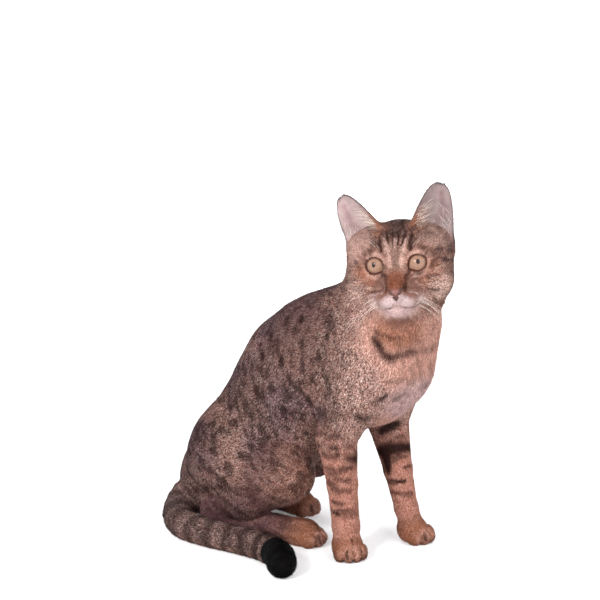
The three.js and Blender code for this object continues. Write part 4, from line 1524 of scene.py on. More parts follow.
def leather_material():
    """Damp nose leather and lid edges: the piece's own colour, pebbled, with a soft gloss."""
    tree = Tree("damp leather", Specular_IOR_Level=0.35, Coat_Roughness=0.3)
    colour = tree.attribute("tint", "Color")
    cells = tree.node("ShaderNodeTexVoronoi", {"feature": "SMOOTH_F1"}, {"Scale": 1500.0})
    grain = tree.noise(420.0, 3.0)
    shade = 0.82 + 0.36 * grain + 0.12 * cells
    tree.set("Base Color", tree.mix(colour, tree.grey(shade), 1.0, "MULTIPLY"))
    tree.set("Roughness", 0.34 + 0.2 * grain)
    tree.set("Coat Weight", 0.2 * grain)
    tree.set("Normal", tree.bump(cells + grain, 0.0003, 0.5))
    return tree.material


def eye_material(colours):
    """A wet eye: a dark upright pupil, a streaked iris with a darker edge, then the brown of the eyeball."""
    film = {"Coat_Weight": 1.0, "Coat_Roughness": 0.02, "Coat_IOR": 1.33}
    tree = Tree("wet eye", Roughness=0.3, Specular_IOR_Level=0.0, **film)
    place = tree.attribute("gaze_place", "Vector")
    across, up = (tree.node("ShaderNodeSeparateXYZ", {}, {0: place}, n) for n in (0, 1))
    away = (across * across + up * up) ** 0.5
    pupil = ((across / PUPIL["half_width"]) ** 2.0 + (up / PUPIL["half_height"]) ** 2.0) ** 0.5
    round_place = tree.node("ShaderNodeVectorMath", {"operation": "NORMALIZE"}, {0: place})
    spokes = tree.node("ShaderNodeVectorMath", {"operation": "SCALE"}, {0: round_place, "Scale": 9.0})
    streaks = tree.noise(1.0, 3.0, spokes, 0.7)
    flecks = tree.noise(900.0, 2.0)
    radius = IRIS["radius"]
    outward = away.smooth(PUPIL["half_width"], radius)
    iris = tree.mix(colours.iris_middle, colours.iris_edge, outward)
    shade = (0.62 + 0.55 * streaks + 0.2 * flecks) * (1.0 - away.smooth(radius - IRIS["rim"], radius) * 0.5)
    iris = tree.mix(iris, tree.grey(shade), 1.0, "MULTIPLY")
    iris = tree.mix(iris, linear(PUPIL["colour"]), pupil.smooth(1.25, 0.9))
    around = away.smooth(radius, radius + 0.5)
    tree.set("Base Color", tree.mix(iris, linear(IRIS["around"]), around))
    return tree.material


def whisker_material():
    """Whiskers and long hairs: pale horn, a little uneven, with a faint gloss."""
    tree = Tree("pale horn", Specular_IOR_Level=0.4)
    tint = tree.attribute("tint", "Color")
    shade = 0.85 + 0.3 * tree.noise(300.0, 2.0)
    tree.set("Base Color", tree.mix(tint, tree.grey(shade), 1.0, "MULTIPLY"))
    tree.set("Roughness", 0.35 + 0.1 * shade)
    return tree.material


def floor_material(colour):
    """A pale matt floor with a faint unevenness, which glows like a lit backdrop away from its middle."""
    tree = Tree("pale floor", Specular_IOR_Level=0.1, Emission_Strength=1.0)
    shade = 0.99 + 0.02 * tree.noise(6.0, 2.0)
    tree.set("Base Color", tree.mix(tuple(colour), tree.grey(shade), 1.0, "MULTIPLY"))
    tree.set("Roughness", 0.85 + 0.1 * tree.noise(40.0, 2.0))
    place = tree.node("ShaderNodeTexCoord", output="Object")
    away = tree.node("ShaderNodeVectorMath", {"operation": "LENGTH"}, {0: place}, output="Value")
    tree.set("Emission Color", tree.grey(0.14 + 0.75 * away.smooth(0.4, 2.4)))
    return tree.material


# ---------------------------------------------------------------- skin and coat

NOSE_PAD = {
    "top": -12.8,
    "bottom": -23.6,
    "half_width": 8.4,
    "foot": 1.0,  # half its width at the bottom
    "from": 35,
    "proud": 0.6,
    "deep": 2.6,
    "round": 1.8,
}
TUFT_LIMIT = 49000  # tufts in one piece, each of four triangles
PATCH = 0.003  # the width of a tuft's patch on its OFBake map
TUFT_FACES = [[0, 2, 1], [0, 1, 3], [1, 2, 3], [0, 3, 2]]  # root, underside, right and left
TICKING = {  # how strongly each style's hairs are banded
    "body": 1.0, "breast": 0.42, "leg": 0.45, "foot": 0.45, "tail": 1.0,
    "head": 0.75, "face": 0.45, "muzzle": 0.15, "ear": 0.3,
}
BARE_EAR = 0.86  # how bare the inside of an ear is
TURN = 7  # degrees that tufts turn off the coat's direction, as a standard deviation
VARIETY = 0.22  # how far a tuft's length, width and lift are from its style's, as a share
SUNK = 0.22  # how far a tuft's root lies under the skin
RIDGE = 0.35  # how high a tuft's ridge stands over its root, as a share of its width
ROUNDING = 0.55  # how far the normals at a tuft's two sides lean outward
RIDGE_SHADE = 0.08  # how far along the hair the ridge counts, for its colour
SOLE = {"below": 0.3, "facing": -0.8}  # where the skin lies flat on the floor
FLESH = [
    "head", "lower_jaw", "ear_left", "ear_right", "neck", "trunk",
    "foreleg_left", "forepaw_left", "foreleg_right", "forepaw_right",
    "hindleg_left", "hindpaw_left", "hindleg_right", "hindpaw_right",
    "tail_base", "tail_middle", "tail_tip",
]


def pad_outline(head):
    """Distance to the nose leather's outline seen from in front: a triangle that points down, rounded."""
    wide = NOSE_PAD["half_width"] - NOSE_PAD["foot"]
    tall = NOSE_PAD["top"] - NOSE_PAD["bottom"]
    slant = np.hypot(wide, tall)
    aside, up = np.abs(head[..., 1]), head[..., 2]
    flank = ((aside - NOSE_PAD["foot"]) * tall - (up - NOSE_PAD["bottom"]) * wide) / slant
    top = up - NOSE_PAD["top"] - 0.06 * aside
    return soft_max(soft_max(flank, top, NOSE_PAD["round"]), -(up - NOSE_PAD["bottom"] + 0.4), 1.0)


def bareness(points, normals, shares):
    """1 where no coat grows: on the nose leather, along the lids and inside the ears, and 0 elsewhere."""
    head = HEAD_AXES.inside(points)
    bare = smooth(1.0, 0.0, pad_outline(head)) * (head[:, 0] > NOSE_PAD["from"])
    for side in SIDES:
        place = eye_axes(side).inside(points)
        bare = np.maximum(bare, lid_edge(place, side, 1.13, 1.05))
        ear = ear_axes(side)
        facing = smooth(0.0, 0.3, (normals @ ear.columns)[:, 0])
        above = smooth(-4, 4, ear.inside(points)[:, 2])
        bare = np.maximum(bare, facing * above * smooth(0.35, 0.6, shares[:, -1]) * BARE_EAR)
    return bare


def lid_edge(place, side, outer, inner):
    """1 on the lid out to a share of its opening and 0 from another on, for places in the eye's axes."""
    on_lid = smooth(14.5, 13.2, np.linalg.norm(place, axis=1)) * (place[:, 0] > 3)
    return smooth(outer, inner, lid_oval(*place.T, SIDES[side])) * on_lid


@functools.cache
def coat_on_skin():
    """The coat's direction, style shares and bareness at the skin mesh's points."""
    points, normals, _ = skin_mesh()
    flow, shares = lie_of_coat(points, normals)
    return flow, shares, bareness(points, normals, shares)


def weighted(values, corners, weights):
    """Values at places inside triangles, from the values at their corners."""
    return (values[corners] * weights[..., None]).sum(1)


def sown_tufts(thick, long, tones):
    """Tufts sown evenly by area over the skin: where they grow, how they lie, their size, colour and lot.

    Each root is a random place in a triangle. Its tuft leads along the coat's direction, turned a little,
    and stands off the skin by its style's lift. Its colour is that of the coat under its middle.
    """
    points, normals, triangles = skin_mesh()
    flow, shares, bare = coat_on_skin()
    rng = np.random.default_rng(SEED)
    edges = points[triangles[:, 1:]] - points[triangles[:, :1]]
    area = np.linalg.norm(np.cross(edges[:, 0], edges[:, 1]), axis=1) / 2
    grown = (shares @ [style.density for style in STYLES.values()]) * (1 - bare)
    sole = (points[:, 2] < SOLE["below"]) & (normals[:, 2] < SOLE["facing"])
    grown = (grown * ~sole)[triangles].mean(1)
    count = (area * grown * thick + rng.random(len(area))).astype(int)
    chosen = np.repeat(np.arange(len(area)), count)
    u, v = rng.random((2, len(chosen)))
    over = u + v > 1
    u, v = np.where(over, 1 - u, u), np.where(over, 1 - v, v)
    weights = np.stack([1 - u - v, u, v], -1)
    corners = triangles[chosen]
    root = weighted(points, corners, weights)
    normal = unit(weighted(normals, corners, weights))
    share = weighted(shares, corners, weights)
    lie = weighted(flow, corners, weights)
    lie = unit(lie - normal * (lie * normal).sum(1, keepdims=True))
    lie = turned_about(lie, normal, rng.normal(0, TURN, len(root)))
    size = share @ np.array([[style.length, style.width, style.lift] for style in STYLES.values()])
    size = size * (1 + rng.uniform(-VARIETY, VARIETY, size.shape))
    size[:, 0] *= long
    middle = root + lie * size[:, :1] * 0.5
    colour = coat_colour(middle, normal, share, tones)
    lot = rng.random(len(root))
    tick = share @ [TICKING[name] for name in STYLE_NAMES]
    tick *= 1 - 0.4 * max_of(ear_foot(HEAD_AXES.inside(root), side) for side in SIDES)
    colour = ticked(colour, lot, tick)
    return dict(
        triangle=chosen, weights=weights, root=root, normal=normal, lie=lie, size=size, share=share,
        colour=colour, lot=lot, tick=tick,
    )


def ticked(colour, lot, tick):
    """The coat's colour made darker in tufts of a low lot and paler and greyer in those of a high one."""
    dark = smooth(0.4, 0.1, lot) * tick
    pale = smooth(0.6, 0.95, lot) * tick
    sandy = colour.mean(1, keepdims=True) * [1.25, 0.97, 0.84]
    colour = mixed(colour, sandy * 2.0, pale * 0.6)
    return colour * (1 - 0.6 * dark)[:, None]


def tuft_shapes(tufts):
    """Four corners for each tuft: left and right of its root, its ridge and its tip.

    The two sides of the root are half a width off it and a little under the skin, the ridge is a third of a
    width above it, and the tip is a length away along the coat, raised by the lift.
    """
    root, normal, lie = tufts["root"], tufts["normal"], tufts["lie"]
    length, width, lift = (tufts["size"][:, n, None] for n in range(3))
    side = np.cross(normal, lie) * width / 2
    under = root - normal * SUNK
    rise = np.radians(lift)
    tip = root + (lie * np.cos(rise) + normal * np.sin(rise)) * length
    shapes = np.stack([under - side, under + side, root + normal * width * RIDGE, tip], 1)
    shapes[..., 2] = np.maximum(shapes[..., 2], FLOOR_GAP)
    return shapes


def coat_regions(tufts):
    """The number of each tuft, by the region of the coat that it grows in."""
    share = {name: tufts["share"][:, n] for n, name in enumerate(STYLE_NAMES)}
    head = HEAD_AXES.inside(tufts["root"])
    on_head = share["head"] + share["face"] + share["muzzle"] > 0.5
    tests = {
        "coat_ears": share["ear"] > 0.4,
        "coat_face": on_head & (head[:, 0] > 14),
        "coat_crown": on_head,
        "coat_legs": share["leg"] + share["foot"] > 0.5,
        "coat_tail": share["tail"] > 0.5,
        "coat_breast": share["breast"] > 0.4,
        "coat_left": tufts["root"][:, 0] > 4,
        "coat_right": np.full(len(on_head), True),
    }
    regions, free = {}, np.full(len(on_head), True)
    for name, test in tests.items():
        found = np.flatnonzero(test & free)
        free[found] = False
        found = found[np.argsort(tufts["root"][found, 2], kind="stable")]
        parts = np.array_split(found, -(-len(found) // TUFT_LIMIT) or 1)
        for n, part in enumerate(parts):
            regions[name if len(parts) == 1 else f"{name}_{n + 1}"] = part
    return regions


def add_coat_piece(name, tufts, picked, material, slot):
    """One region's tufts as a closed mesh, with its colours and its OFBake map."""
    part = {key: values[picked] for key, values in tufts.items()}
    shapes = tuft_shapes(part)
    count = len(shapes)
    faces = (np.arange(count)[:, None, None] * 4 + TUFT_FACES).reshape(-1, 3)
    piece = add_piece(name, shapes.reshape(-1, 3), faces, material, slot)
    side = np.cross(part["normal"], part["lie"])
    rounded = np.stack([part["normal"] + side * lean for lean in (-ROUNDING, ROUNDING, 0, 0)], 1)
    piece.data.normals_split_custom_set_from_vertices(unit(rounded.reshape(-1, 3)))
    colour = np.repeat(part["colour"][:, None], 4, 1)
    along = np.tile([0, 0, RIDGE_SHADE, 1], (count, 1))[..., None]
    add_attribute(piece, "coat", "FLOAT_COLOR", np.concatenate([colour, along], -1))
    add_attribute(piece, "lot", "FLOAT", np.repeat(part["lot"], 4))
    add_attribute(piece, "tick", "FLOAT", np.repeat(part["tick"], 4))
    points, _, triangles = skin_mesh()
    under, order = np.unique(part["triangle"], return_inverse=True)
    flat = unwrapped(points, triangles[under])
    place = (flat[order] * part["weights"][..., None]).sum(1)
    offsets = np.array([[-1, -1], [1, -1], [0, -0.4], [0, 1]]) * PATCH / 2
    add_map(piece, (place[:, None] + offsets).reshape(-1, 2))
    return piece


# ---------------------------------------------------------------- eyes, lids, nose and long hairs

GAZE = {"right": -1, "up": 5}  # degrees that both eyes turn in their sockets
CORNEA = {"rise": 1.0, "half_angle": 42}
IRIS = {"radius": 9.9, "rim": 2.2, "around": "1C1210"}
PUPIL = {"half_width": 1.55, "half_height": 2.2, "colour": "180A08"}
RIM = {"radius": 0.32, "thicker_above": 0.3, "overlap": 1.02, "steps": 120, "sides": 12}


def gaze_axes(side):
    """Axes of an eyeball: forward is where it looks, the last is its own up."""
    return eye_axes(side).turned((2, -GAZE["right"]), (1, -GAZE["up"]))


def eyeball(side, steps=64, turns=96):
    """A ball on angles from the gaze and round it, with the cornea as a low dome on its front.

    The dome rises by (1 - a squared) squared, where a is the angle from the gaze as a share of the cornea's
    half angle. Both ends close in one point.
    """
    angle = np.linspace(0, np.pi, steps + 1)[1:-1, None]
    turn = np.linspace(0, 2 * np.pi, turns, endpoint=False)
    share = np.minimum(np.degrees(angle) / CORNEA["half_angle"], 1)
    radius = EYE["radius"] + CORNEA["rise"] * (1 - share**2) ** 2
    ahead, aside = radius * np.cos(angle), radius * np.sin(angle)
    rings = [ahead + 0 * turn, aside * np.cos(turn), aside * np.sin(turn)]
    rings = np.stack(np.broadcast_arrays(*rings), -1).reshape(-1, 3)
    places = np.vstack([rings, [EYE["radius"] + CORNEA["rise"], 0, 0], [-EYE["radius"], 0, 0]])
    return places, np.vstack([grid_faces(steps - 1, turns), *caps(steps - 1, turns)])


def caps(rows, columns):
    """Triangles that close both ends of a grid with one point each, numbered next after the grid's own."""
    now = np.arange(columns)
    after = (now + 1) % columns
    count = rows * columns
    end = count - columns
    first = np.stack([np.full(columns, count), now, after], -1)
    return first, np.stack([np.full(columns, count + 1), end + after, end + now], -1)


def grid_faces(rows, columns):
    """Two triangles for each cell of a grid whose columns close on themselves."""
    row, column = np.mgrid[0 : rows - 1, 0:columns]
    a = row * columns + column
    b = row * columns + (column + 1) % columns
    c, d = b + columns, a + columns
    return np.vstack([np.stack([a, c, b], -1).reshape(-1, 3), np.stack([a, d, c], -1).reshape(-1, 3)])


SLANT = [0.31, 0.17, 0.94]  # a direction that no tube's path follows


def tube(path, radii, sides, closed=False):
    """A round tube carried along a path with a radius at each place, closed on itself or at both ends.

    The section's first direction is square to the path and to one fixed slant, so it turns as the path does.
    """
    path = np.asarray(path, float)
    ahead = np.roll(path, -1, 0) - np.roll(path, 1, 0) if closed else np.gradient(path, axis=0)
    ahead = unit(ahead)
    first = unit(np.cross(ahead, SLANT))
    second = np.cross(ahead, first)
    turn = np.linspace(0, 2 * np.pi, sides, endpoint=False)[:, None]
    ring = first[:, None] * np.cos(turn) + second[:, None] * np.sin(turn)
    points = (path[:, None] + ring * np.asarray(radii)[:, None, None]).reshape(-1, 3)
    count = len(path)
    faces = grid_faces(count, sides)
    if closed:
        seam = grid_faces(2, sides)
        seam = np.where(seam < sides, seam + (count - 1) * sides, seam - sides)
        return points, np.vstack([faces, seam])[:, ::-1]
    return np.vstack([points, path[0], path[-1]]), np.vstack([faces, *caps(count, sides)])[:, ::-1]


def lid_rim(side):
    """The path and radii of a lid's dark edge, which follows the opening on the lids' shell.

    At angle a the path is at half_width cos a across and half_height sin a up, times the opening's reach in
    that direction. It is thickest along the upper lid.
    """
    angle = np.linspace(0, 2 * np.pi, RIM["steps"], endpoint=False)
    reach = corner_reach(np.cos(angle), np.sin(angle)) * RIM["overlap"]
    across = LIDS["half_width"] * reach * np.cos(angle) * SIDES[side]
    up = LIDS["half_height"] * reach * np.sin(angle)
    shell = EYE["radius"] + LIDS["thickness"] / 2
    ahead = np.sqrt(np.maximum(shell**2 - across**2 - up**2, 1))
    radii = RIM["radius"] * (1 + RIM["thicker_above"] * np.maximum(np.sin(angle), 0))
    path = eye_axes(side).outside(np.stack([ahead, across, up], -1))
    return (path, radii) if SIDES[side] > 0 else (path[::-1], radii[::-1])


class NosePad:
    """Distance to the nose leather: a layer a little proud of the skin, inside its outline."""

    MIDDLE = [44, 0, -18]
    HALF = 14  # half the size of the box round it

    def reach(self):
        middle = HEAD_AXES.outside(self.MIDDLE)
        return middle - self.HALF, middle + self.HALF

    def __call__(self, x, y, z):
        points = np.stack(np.broadcast_arrays(x, y, z), -1)
        head = HEAD_AXES.inside(points)
        skin = valued(flesh().field, points.reshape(-1, 3)).reshape(points.shape[:-1]) - NOSE_PAD["proud"]
        outline = soft_max(pad_outline(head), NOSE_PAD["from"] - head[..., 0], 1.0)
        return soft_max(soft_max(skin, outline, 1.1), -skin - NOSE_PAD["deep"], 0.4)


NOSTRILS = [  # from the middle outwards and up, then the slit that leads back from it
    [[48.6, 2.5, -19.4, 0.7], [46.6, 4.0, -18.0, 1.05]],
    [[46.6, 4.0, -18.0, 1.0], [44.6, 6.0, -17.4, 0.45]],
]
NOSE_GROOVE = [50.2, 0, -15.5, 0.35], [47.6, 0, -24, 0.55]
NOSE_STEP = 0.38


def nose_mesh():
    """The nose leather meshed from its field, with its nostrils and the groove down its middle cut in."""
    cutters = [(groove(*NOSE_GROOVE), 0.7)]
    for a, b in NOSTRILS:
        cutters += [(groove(mirrored(a, sign), mirrored(b, sign)), 0.5) for sign in SIDES.values()]
    field = Carved(NosePad(), cutters)
    low, high = field.reach()
    axes = [np.arange(low[n], high[n], NOSE_STEP, np.float32) for n in range(3)]
    return surface_nets(axes, on_grid(field, axes))


# Hairs of the left side: where their roots are, which way they lead and bend, and how they sag to the floor.
WHISKERS = {
    "roots": [
        [38.5, 12.5, -20], [34.5, 15.5, -20.5],
        [40, 12.5, -23.3], [36, 15.8, -23.4], [32, 18, -23],
        [38.5, 14, -26.6], [34, 17, -26.6],
        [36, 15.5, -29.4],
    ],
    "lead": [-0.28, 0.9, -0.16],
    "droop": [-0.12, 0.06, 0],
    "sag": 0.75,
    "length": 42,
    "radius": 0.1,
    "steps": 14,
}
BROWS = {
    "roots": [[24, 15, 21.5], [21.5, 18, 22]],
    "lead": [0.42, 0.35, 0.8],
    "droop": [-0.3, 0.35, -0.1],
    "sag": 0,
    "length": 17,
    "radius": 0.08,
}
EAR_HAIR = {"count": 150, "on_inner_edge": 0.75, "highest": 0.75, "length": 15, "radius": 0.09, "steps": 6}


def curved_hair(root, lead, droop, length, steps):
    """A hair's path: it leads off straight, and droops by the square of how far along it is."""
    t = np.linspace(0, 1, steps)[:, None]
    return root + np.asarray(lead) * length * t + np.asarray(droop) * length * t**2


def joined(parts):
    """Several meshes of triangles as one."""
    points, faces, before = [], [], 0
    for some_points, some_faces in parts:
        points.append(some_points)
        faces.append(some_faces + before)
        before += len(some_points)
    return np.vstack(points), np.vstack(faces)


def whisker_mesh(side, long):
    """All whiskers and brow hairs of one side, as thin tapered tubes."""
    sign = SIDES[side]
    rng = np.random.default_rng(SEED + sign)
    down = HEAD_AXES.inside(HEAD_AXES.origin + [0, 0, -1.0])
    parts = []
    for group in (WHISKERS, BROWS):
        for place in group["roots"]:
            root = np.array(mirrored(place, sign), float)
            jitter = rng.normal(0, 0.09, 3)
            aim = unit(np.array([mirrored(group["lead"], sign)]) + jitter)[0]
            bend = np.array(mirrored(group["droop"], sign)) + group["sag"] * down
            length = group["length"] * long * rng.uniform(0.7, 1.08)
            path = curved_hair(root, aim, bend, length, WHISKERS["steps"])
            radii = group["radius"] * (1 - 0.8 * np.linspace(0, 1, WHISKERS["steps"]))
            parts.append(tube(HEAD_AXES.outside(path), radii, 6))
    return joined(parts)


def ear_hair_mesh(side):
    """Fine pale hairs that grow along the inner edge and the root of an ear and lead across its opening."""
    sign = SIDES[side]
    rng = np.random.default_rng(SEED + 10 + sign)
    ear = ear_axes(side)
    parts = []
    for _ in range(EAR_HAIR["count"]):
        high = rng.beta(1.1, 2.6) * EAR_HAIR["highest"]
        inner = rng.random() < EAR_HAIR["on_inner_edge"]
        t = -sign * rng.uniform(0.45, 0.96) if inner else sign * rng.uniform(0.6, 0.95)
        width, cup = ear_section(high)
        root = np.array([cup * (t * t - 0.5) + 0.9, width * t, high * EAR["length"]])
        lead = unit(np.array([[0.28, -np.sign(t) * 0.5, 0.75]]) + rng.normal(0, 0.13, 3))[0]
        length = EAR_HAIR["length"] * rng.uniform(0.55, 1.1) * (1 - 0.45 * high)
        path = curved_hair(root, lead, [-0.12, -np.sign(t) * 0.22, -0.05], length, EAR_HAIR["steps"])
        radii = EAR_HAIR["radius"] * (1 - 0.85 * np.linspace(0, 1, EAR_HAIR["steps"]))
        parts.append(tube(ear.outside(path), radii, 4))
    return joined(parts)


def tint(piece, colour):
    """Gives a piece's tint attribute one colour, or a colour for each point."""
    colours = np.ones((len(piece.data.vertices), 4))
    colours[:, :3] = colour
    add_attribute(piece, "tint", "FLOAT_COLOR", colours)


# ---------------------------------------------------------------- settings

COLOURS = {  # name: code, what it colours
    "flank": ("66443D", "The sides of the body"),
    "back": ("4C3037", "Along the spine"),
    "tail": ("6A4A45", "The tail between its bands"),
    "toe": ("A26E5B", "The tops of the toes"),
    "mauve": ("60414C", "Greyer places on the body"),
    "belly": ("805344", "The belly, the knees and under the tail"),
    "breast": ("B48171", "The breast and the front of the neck"),
    "chest": ("B0969A", "The pale patch low on the chest"),
    "throat": ("8E573E", "The orange patch on the throat"),
    "leg": ("9B6453", "The legs"),
    "foot": ("8A5238", "The feet"),
    "face": ("744E42", "The face between its marks"),
    "crown": ("553A36", "The top and the back of the head"),
    "cheek": ("8A543E", "The cheeks below and outside the eyes"),
    "halo": ("B28C7E", "Round the eyes and over them"),
    "bridge": ("806054", "Between the eyes"),
    "rust": ("7C442C", "The nose above its leather"),
    "tear": ("3A2018", "The lines from the eyes down the nose"),
    "muzzle": ("B8A3A2", "The whisker pads"),
    "chin": ("B09492", "The chin"),
    # dark also paints the shade between the toes
    "dark": ("2A1310", "Stripes, spots and bars"),
    "black": ("060509", "The tip of the tail"),
    "ear": ("A6918F", "Inside the ears"),
    "ear_foot": ("B0887C", "The head below the ears"),
    # painted shade in the fold inside the ears
    "ear_fold": ("8A6A6C", "The fold inside the ears"),
    "ear_root": ("844E30", "The inner root of the ears"),
    "ear_back": ("4B3D3E", "The back and the edge of the ears"),
    "iris_middle": ("7E6050", "The iris next to the pupil"),
    "iris_edge": ("8A6A58", "The outer iris"),
    "nose": ("6A3F3A", "The nose leather"),
    "edge": ("3A1A10", "The edges of the lids and of the nose leather"),
    "whisker": ("D8CAC0", "Whiskers, brow hairs and hairs in the ears"),
}


def colour_setting(name, code, use):
    """A colour property from its name, its six-digit code and what it colours."""
    return bpy.props.FloatVectorProperty(
        name=name.replace("_", " ").capitalize(), description=use, subtype="COLOR", default=linear(code),
        size=3, min=0, max=1,
    )


class CatColours(bpy.types.PropertyGroup):
    """The colours of the coat and of the bare parts."""

    __annotations__ = {name: colour_setting(name, *about) for name, about in COLOURS.items()}


class CatSizes(bpy.types.PropertyGroup):
    """Sizes that can be changed without building the body anew."""

    thickness: bpy.props.FloatProperty(
        name="Thickness", description="Tufts as a share of the usual number",
        default=1.0, min=0.05, max=1.2, subtype="FACTOR",
    )
    length: bpy.props.FloatProperty(
        name="Coat length", description="Tuft length as a share of the usual",
        default=1.0, min=0.5, max=1.3, subtype="FACTOR",
    )
    whiskers: bpy.props.FloatProperty(
        name="Whisker length", description="Whisker length as a share of the usual",
        default=1.0, min=0.3, max=1.2, subtype="FACTOR",
    )


class CatStage(bpy.types.PropertyGroup):
    """The floor, the lights and the camera."""

    floor: bpy.props.FloatVectorProperty(
        name="Floor", description="The floor's colour", subtype="COLOR", default=(0.86, 0.86, 0.87), size=3,
    )
    sky: bpy.props.FloatProperty(name="Sky", description="Strength of the even light", default=0.52, min=0)
    key: bpy.props.FloatProperty(
        name="Key light", description="Power of the main light",
        default=15.0, min=0, unit="POWER",
    )
    catch: bpy.props.FloatProperty(
        name="Catch light", description="Power of the small light in the eyes",
        default=24.0, min=0, unit="POWER",
    )
    back: bpy.props.FloatProperty(
        name="Back light", description="Power of the light from behind",
        default=8.0, min=0, unit="POWER",
    )
    lens: bpy.props.FloatProperty(
        name="Lens", description="Focal length", default=102.3, min=20, max=300, unit="CAMERA",
    )


CAMERA = {"place": [713, -1372, 490], "pitch": -9.5, "turn": -60.0}  # millimetres and degrees
SENSOR = 36.0  # the sensor's width in millimetres
CLIP = 0.1, 60.0  # metres
LIT = [-40, -10, 170]  # where the lights point
LIGHTS = {  # place [forward, left, up] in mm from the floor below the chest, and width in metres
    "key": ([1350, -650, 1300], 1.6),
    "catch": ([-40, -1540, 900], 0.38),
    "back": ([-1300, 500, 1400], 1.6),
}
BOWL = {"flat": 2.6, "bend": 1.6, "height": 3.4}  # metres: the floor's radius, its bend and the wall's top


# ---------------------------------------------------------------- operators


def all_tones():
    """The colours as they are set, by name."""
    group = bpy.context.scene.cat_colours
    return {name: tuple(getattr(group, name)) for name in COLOURS}


class CAT_OT_skin(bpy.types.Operator):
    """Adds the cat's one skin, in the place of all its nodes of flesh"""

    bl_idname = "cat.skin"
    bl_label = "Add Skin"

    def execute(self, context):
        points, normals, triangles = skin_mesh()
        _, shares, bare = coat_on_skin()
        colour = np.zeros((len(points), 4))
        colour[:, :3] = lid_edges(points, coat_colour(points, normals, shares, all_tones()))
        skin = add_piece("skin", points, triangles, skin_material(), "coat", FLESH)
        add_attribute(skin, "coat", "FLOAT_COLOR", colour)
        add_attribute(skin, "bare", "FLOAT", bare)
        return {"FINISHED"}


def lid_edges(points, colour):
    """The skin's colours with the edges of the lids and the mouth line darkened."""
    edge = np.array(all_tones()["edge"])
    for side in SIDES:
        place = eye_axes(side).inside(points)
        colour = mixed(colour, edge, lid_edge(place, side, 1.16, 1.06))
    return mixed(colour, edge, lips(HEAD_AXES.inside(points)) * 0.7)


LIP_LINE = 1.0  # half the width of the dark line along the mouth


def lips(head):
    """1 along the philtrum and the mouth line."""
    lines = [[[*stop[:3], LIP_LINE] for stop in stops] for stops in GROOVES]
    return strokes(head, lines, 0.8) * smooth(15, 7, np.abs(head[:, 1]))


COAT_SLOTS = {  # by how a region's name starts; the others have the slot coat
    "coat_ears": "ear",
    "coat_face": "face_coat",
    "coat_crown": "face_coat",
    "coat_legs": "leg_coat",
}


class CAT_OT_coat(bpy.types.Operator):
    """Adds the tufts of the coat, region by region"""

    bl_idname = "cat.coat"
    bl_label = "Add Coat"

    def execute(self, context):
        sizes = context.scene.cat_sizes
        thick = sizes.thickness * 1
        tufts = sown_tufts(thick, sizes.length, all_tones())
        material = fur_material()
        for name, picked in coat_regions(tufts).items():
            slot = next((slot for start, slot in COAT_SLOTS.items() if name.startswith(start)), "coat")
            add_coat_piece(name, tufts, picked, material, slot)
        return {"FINISHED"}


class CAT_OT_eyes(bpy.types.Operator):
    """Adds the two eyeballs and the dark edges of their lids"""

    bl_idname = "cat.eyes"
    bl_label = "Add Eyes"

    def execute(self, context):
        group = context.scene.cat_colours
        wet, leather = eye_material(group), leather_material()
        for side in SIDES:
            places, faces = eyeball(side)
            points = gaze_axes(side).outside(places)
            eye = add_piece(f"eyeball_{side}", points, faces, wet, "eye", [f"eye_{side}"])
            add_attribute(eye, "gaze_place", "FLOAT_VECTOR", places[:, [1, 2, 0]] * [1, 1, 0])
            points, faces = tube(*lid_rim(side), RIM["sides"], closed=True)
            rim = add_piece(f"lid_edge_{side}", points, faces, leather, "nose_leather")
            tint(rim, group.edge)
        return {"FINISHED"}


class CAT_OT_nose(bpy.types.Operator):
    """Adds the nose leather with its nostrils"""

    bl_idname = "cat.nose"
    bl_label = "Add Nose"

    def execute(self, context):
        group = context.scene.cat_colours
        points, faces = nose_mesh()
        nose = add_piece("nose_leather", points, faces, leather_material(), "nose_leather", ["nose"])
        # The leather's own dark lower sides, and painted shade in its nostrils and middle groove.
        shade = nose_edge_and_painted_shade(HEAD_AXES.inside(points))
        tint(nose, mixed(all_of(np.array(group.nose), points), np.array(group.edge), shade))
        return {"FINISHED"}


def nose_edge_and_painted_shade(head):
    """How dark the nose leather is: its own dark lower sides, and painted shade in its nostrils and in its
    middle groove.
    """
    outline = smooth(3.6, 1.2, np.interp(head[:, 2], [-22.4, -14.6], [0.2, 5.8]) - np.abs(head[:, 1]))
    holes = [[[*stop[:3], stop[3] + 0.3] for stop in stops] for stops in NOSTRILS]
    # painted shade in the nostrils
    nostril_shade = strokes(folded(head), holes, 0.5)
    # painted shade low in the middle groove
    middle = smooth(0.9, 0.2, np.abs(head[:, 1])) * smooth(-18, -22, head[:, 2]) * 0.7
    return max_of([outline * 0.95, nostril_shade, middle])


class CAT_OT_long_hairs(bpy.types.Operator):
    """Adds the whiskers, the brow hairs and the fine hairs inside the ears"""

    bl_idname = "cat.long_hairs"
    bl_label = "Add Long Hairs"

    def execute(self, context):
        colour, long = context.scene.cat_colours.whisker, context.scene.cat_sizes.whiskers
        material = whisker_material()
        for side in SIDES:
            whiskers = add_piece(f"whiskers_{side}", *whisker_mesh(side, long), material, "face_coat")
            tint(whiskers, colour)
            hairs = add_piece(f"ear_hairs_{side}", *ear_hair_mesh(side), material, "ear")
            tint(hairs, colour)
        return {"FINISHED"}


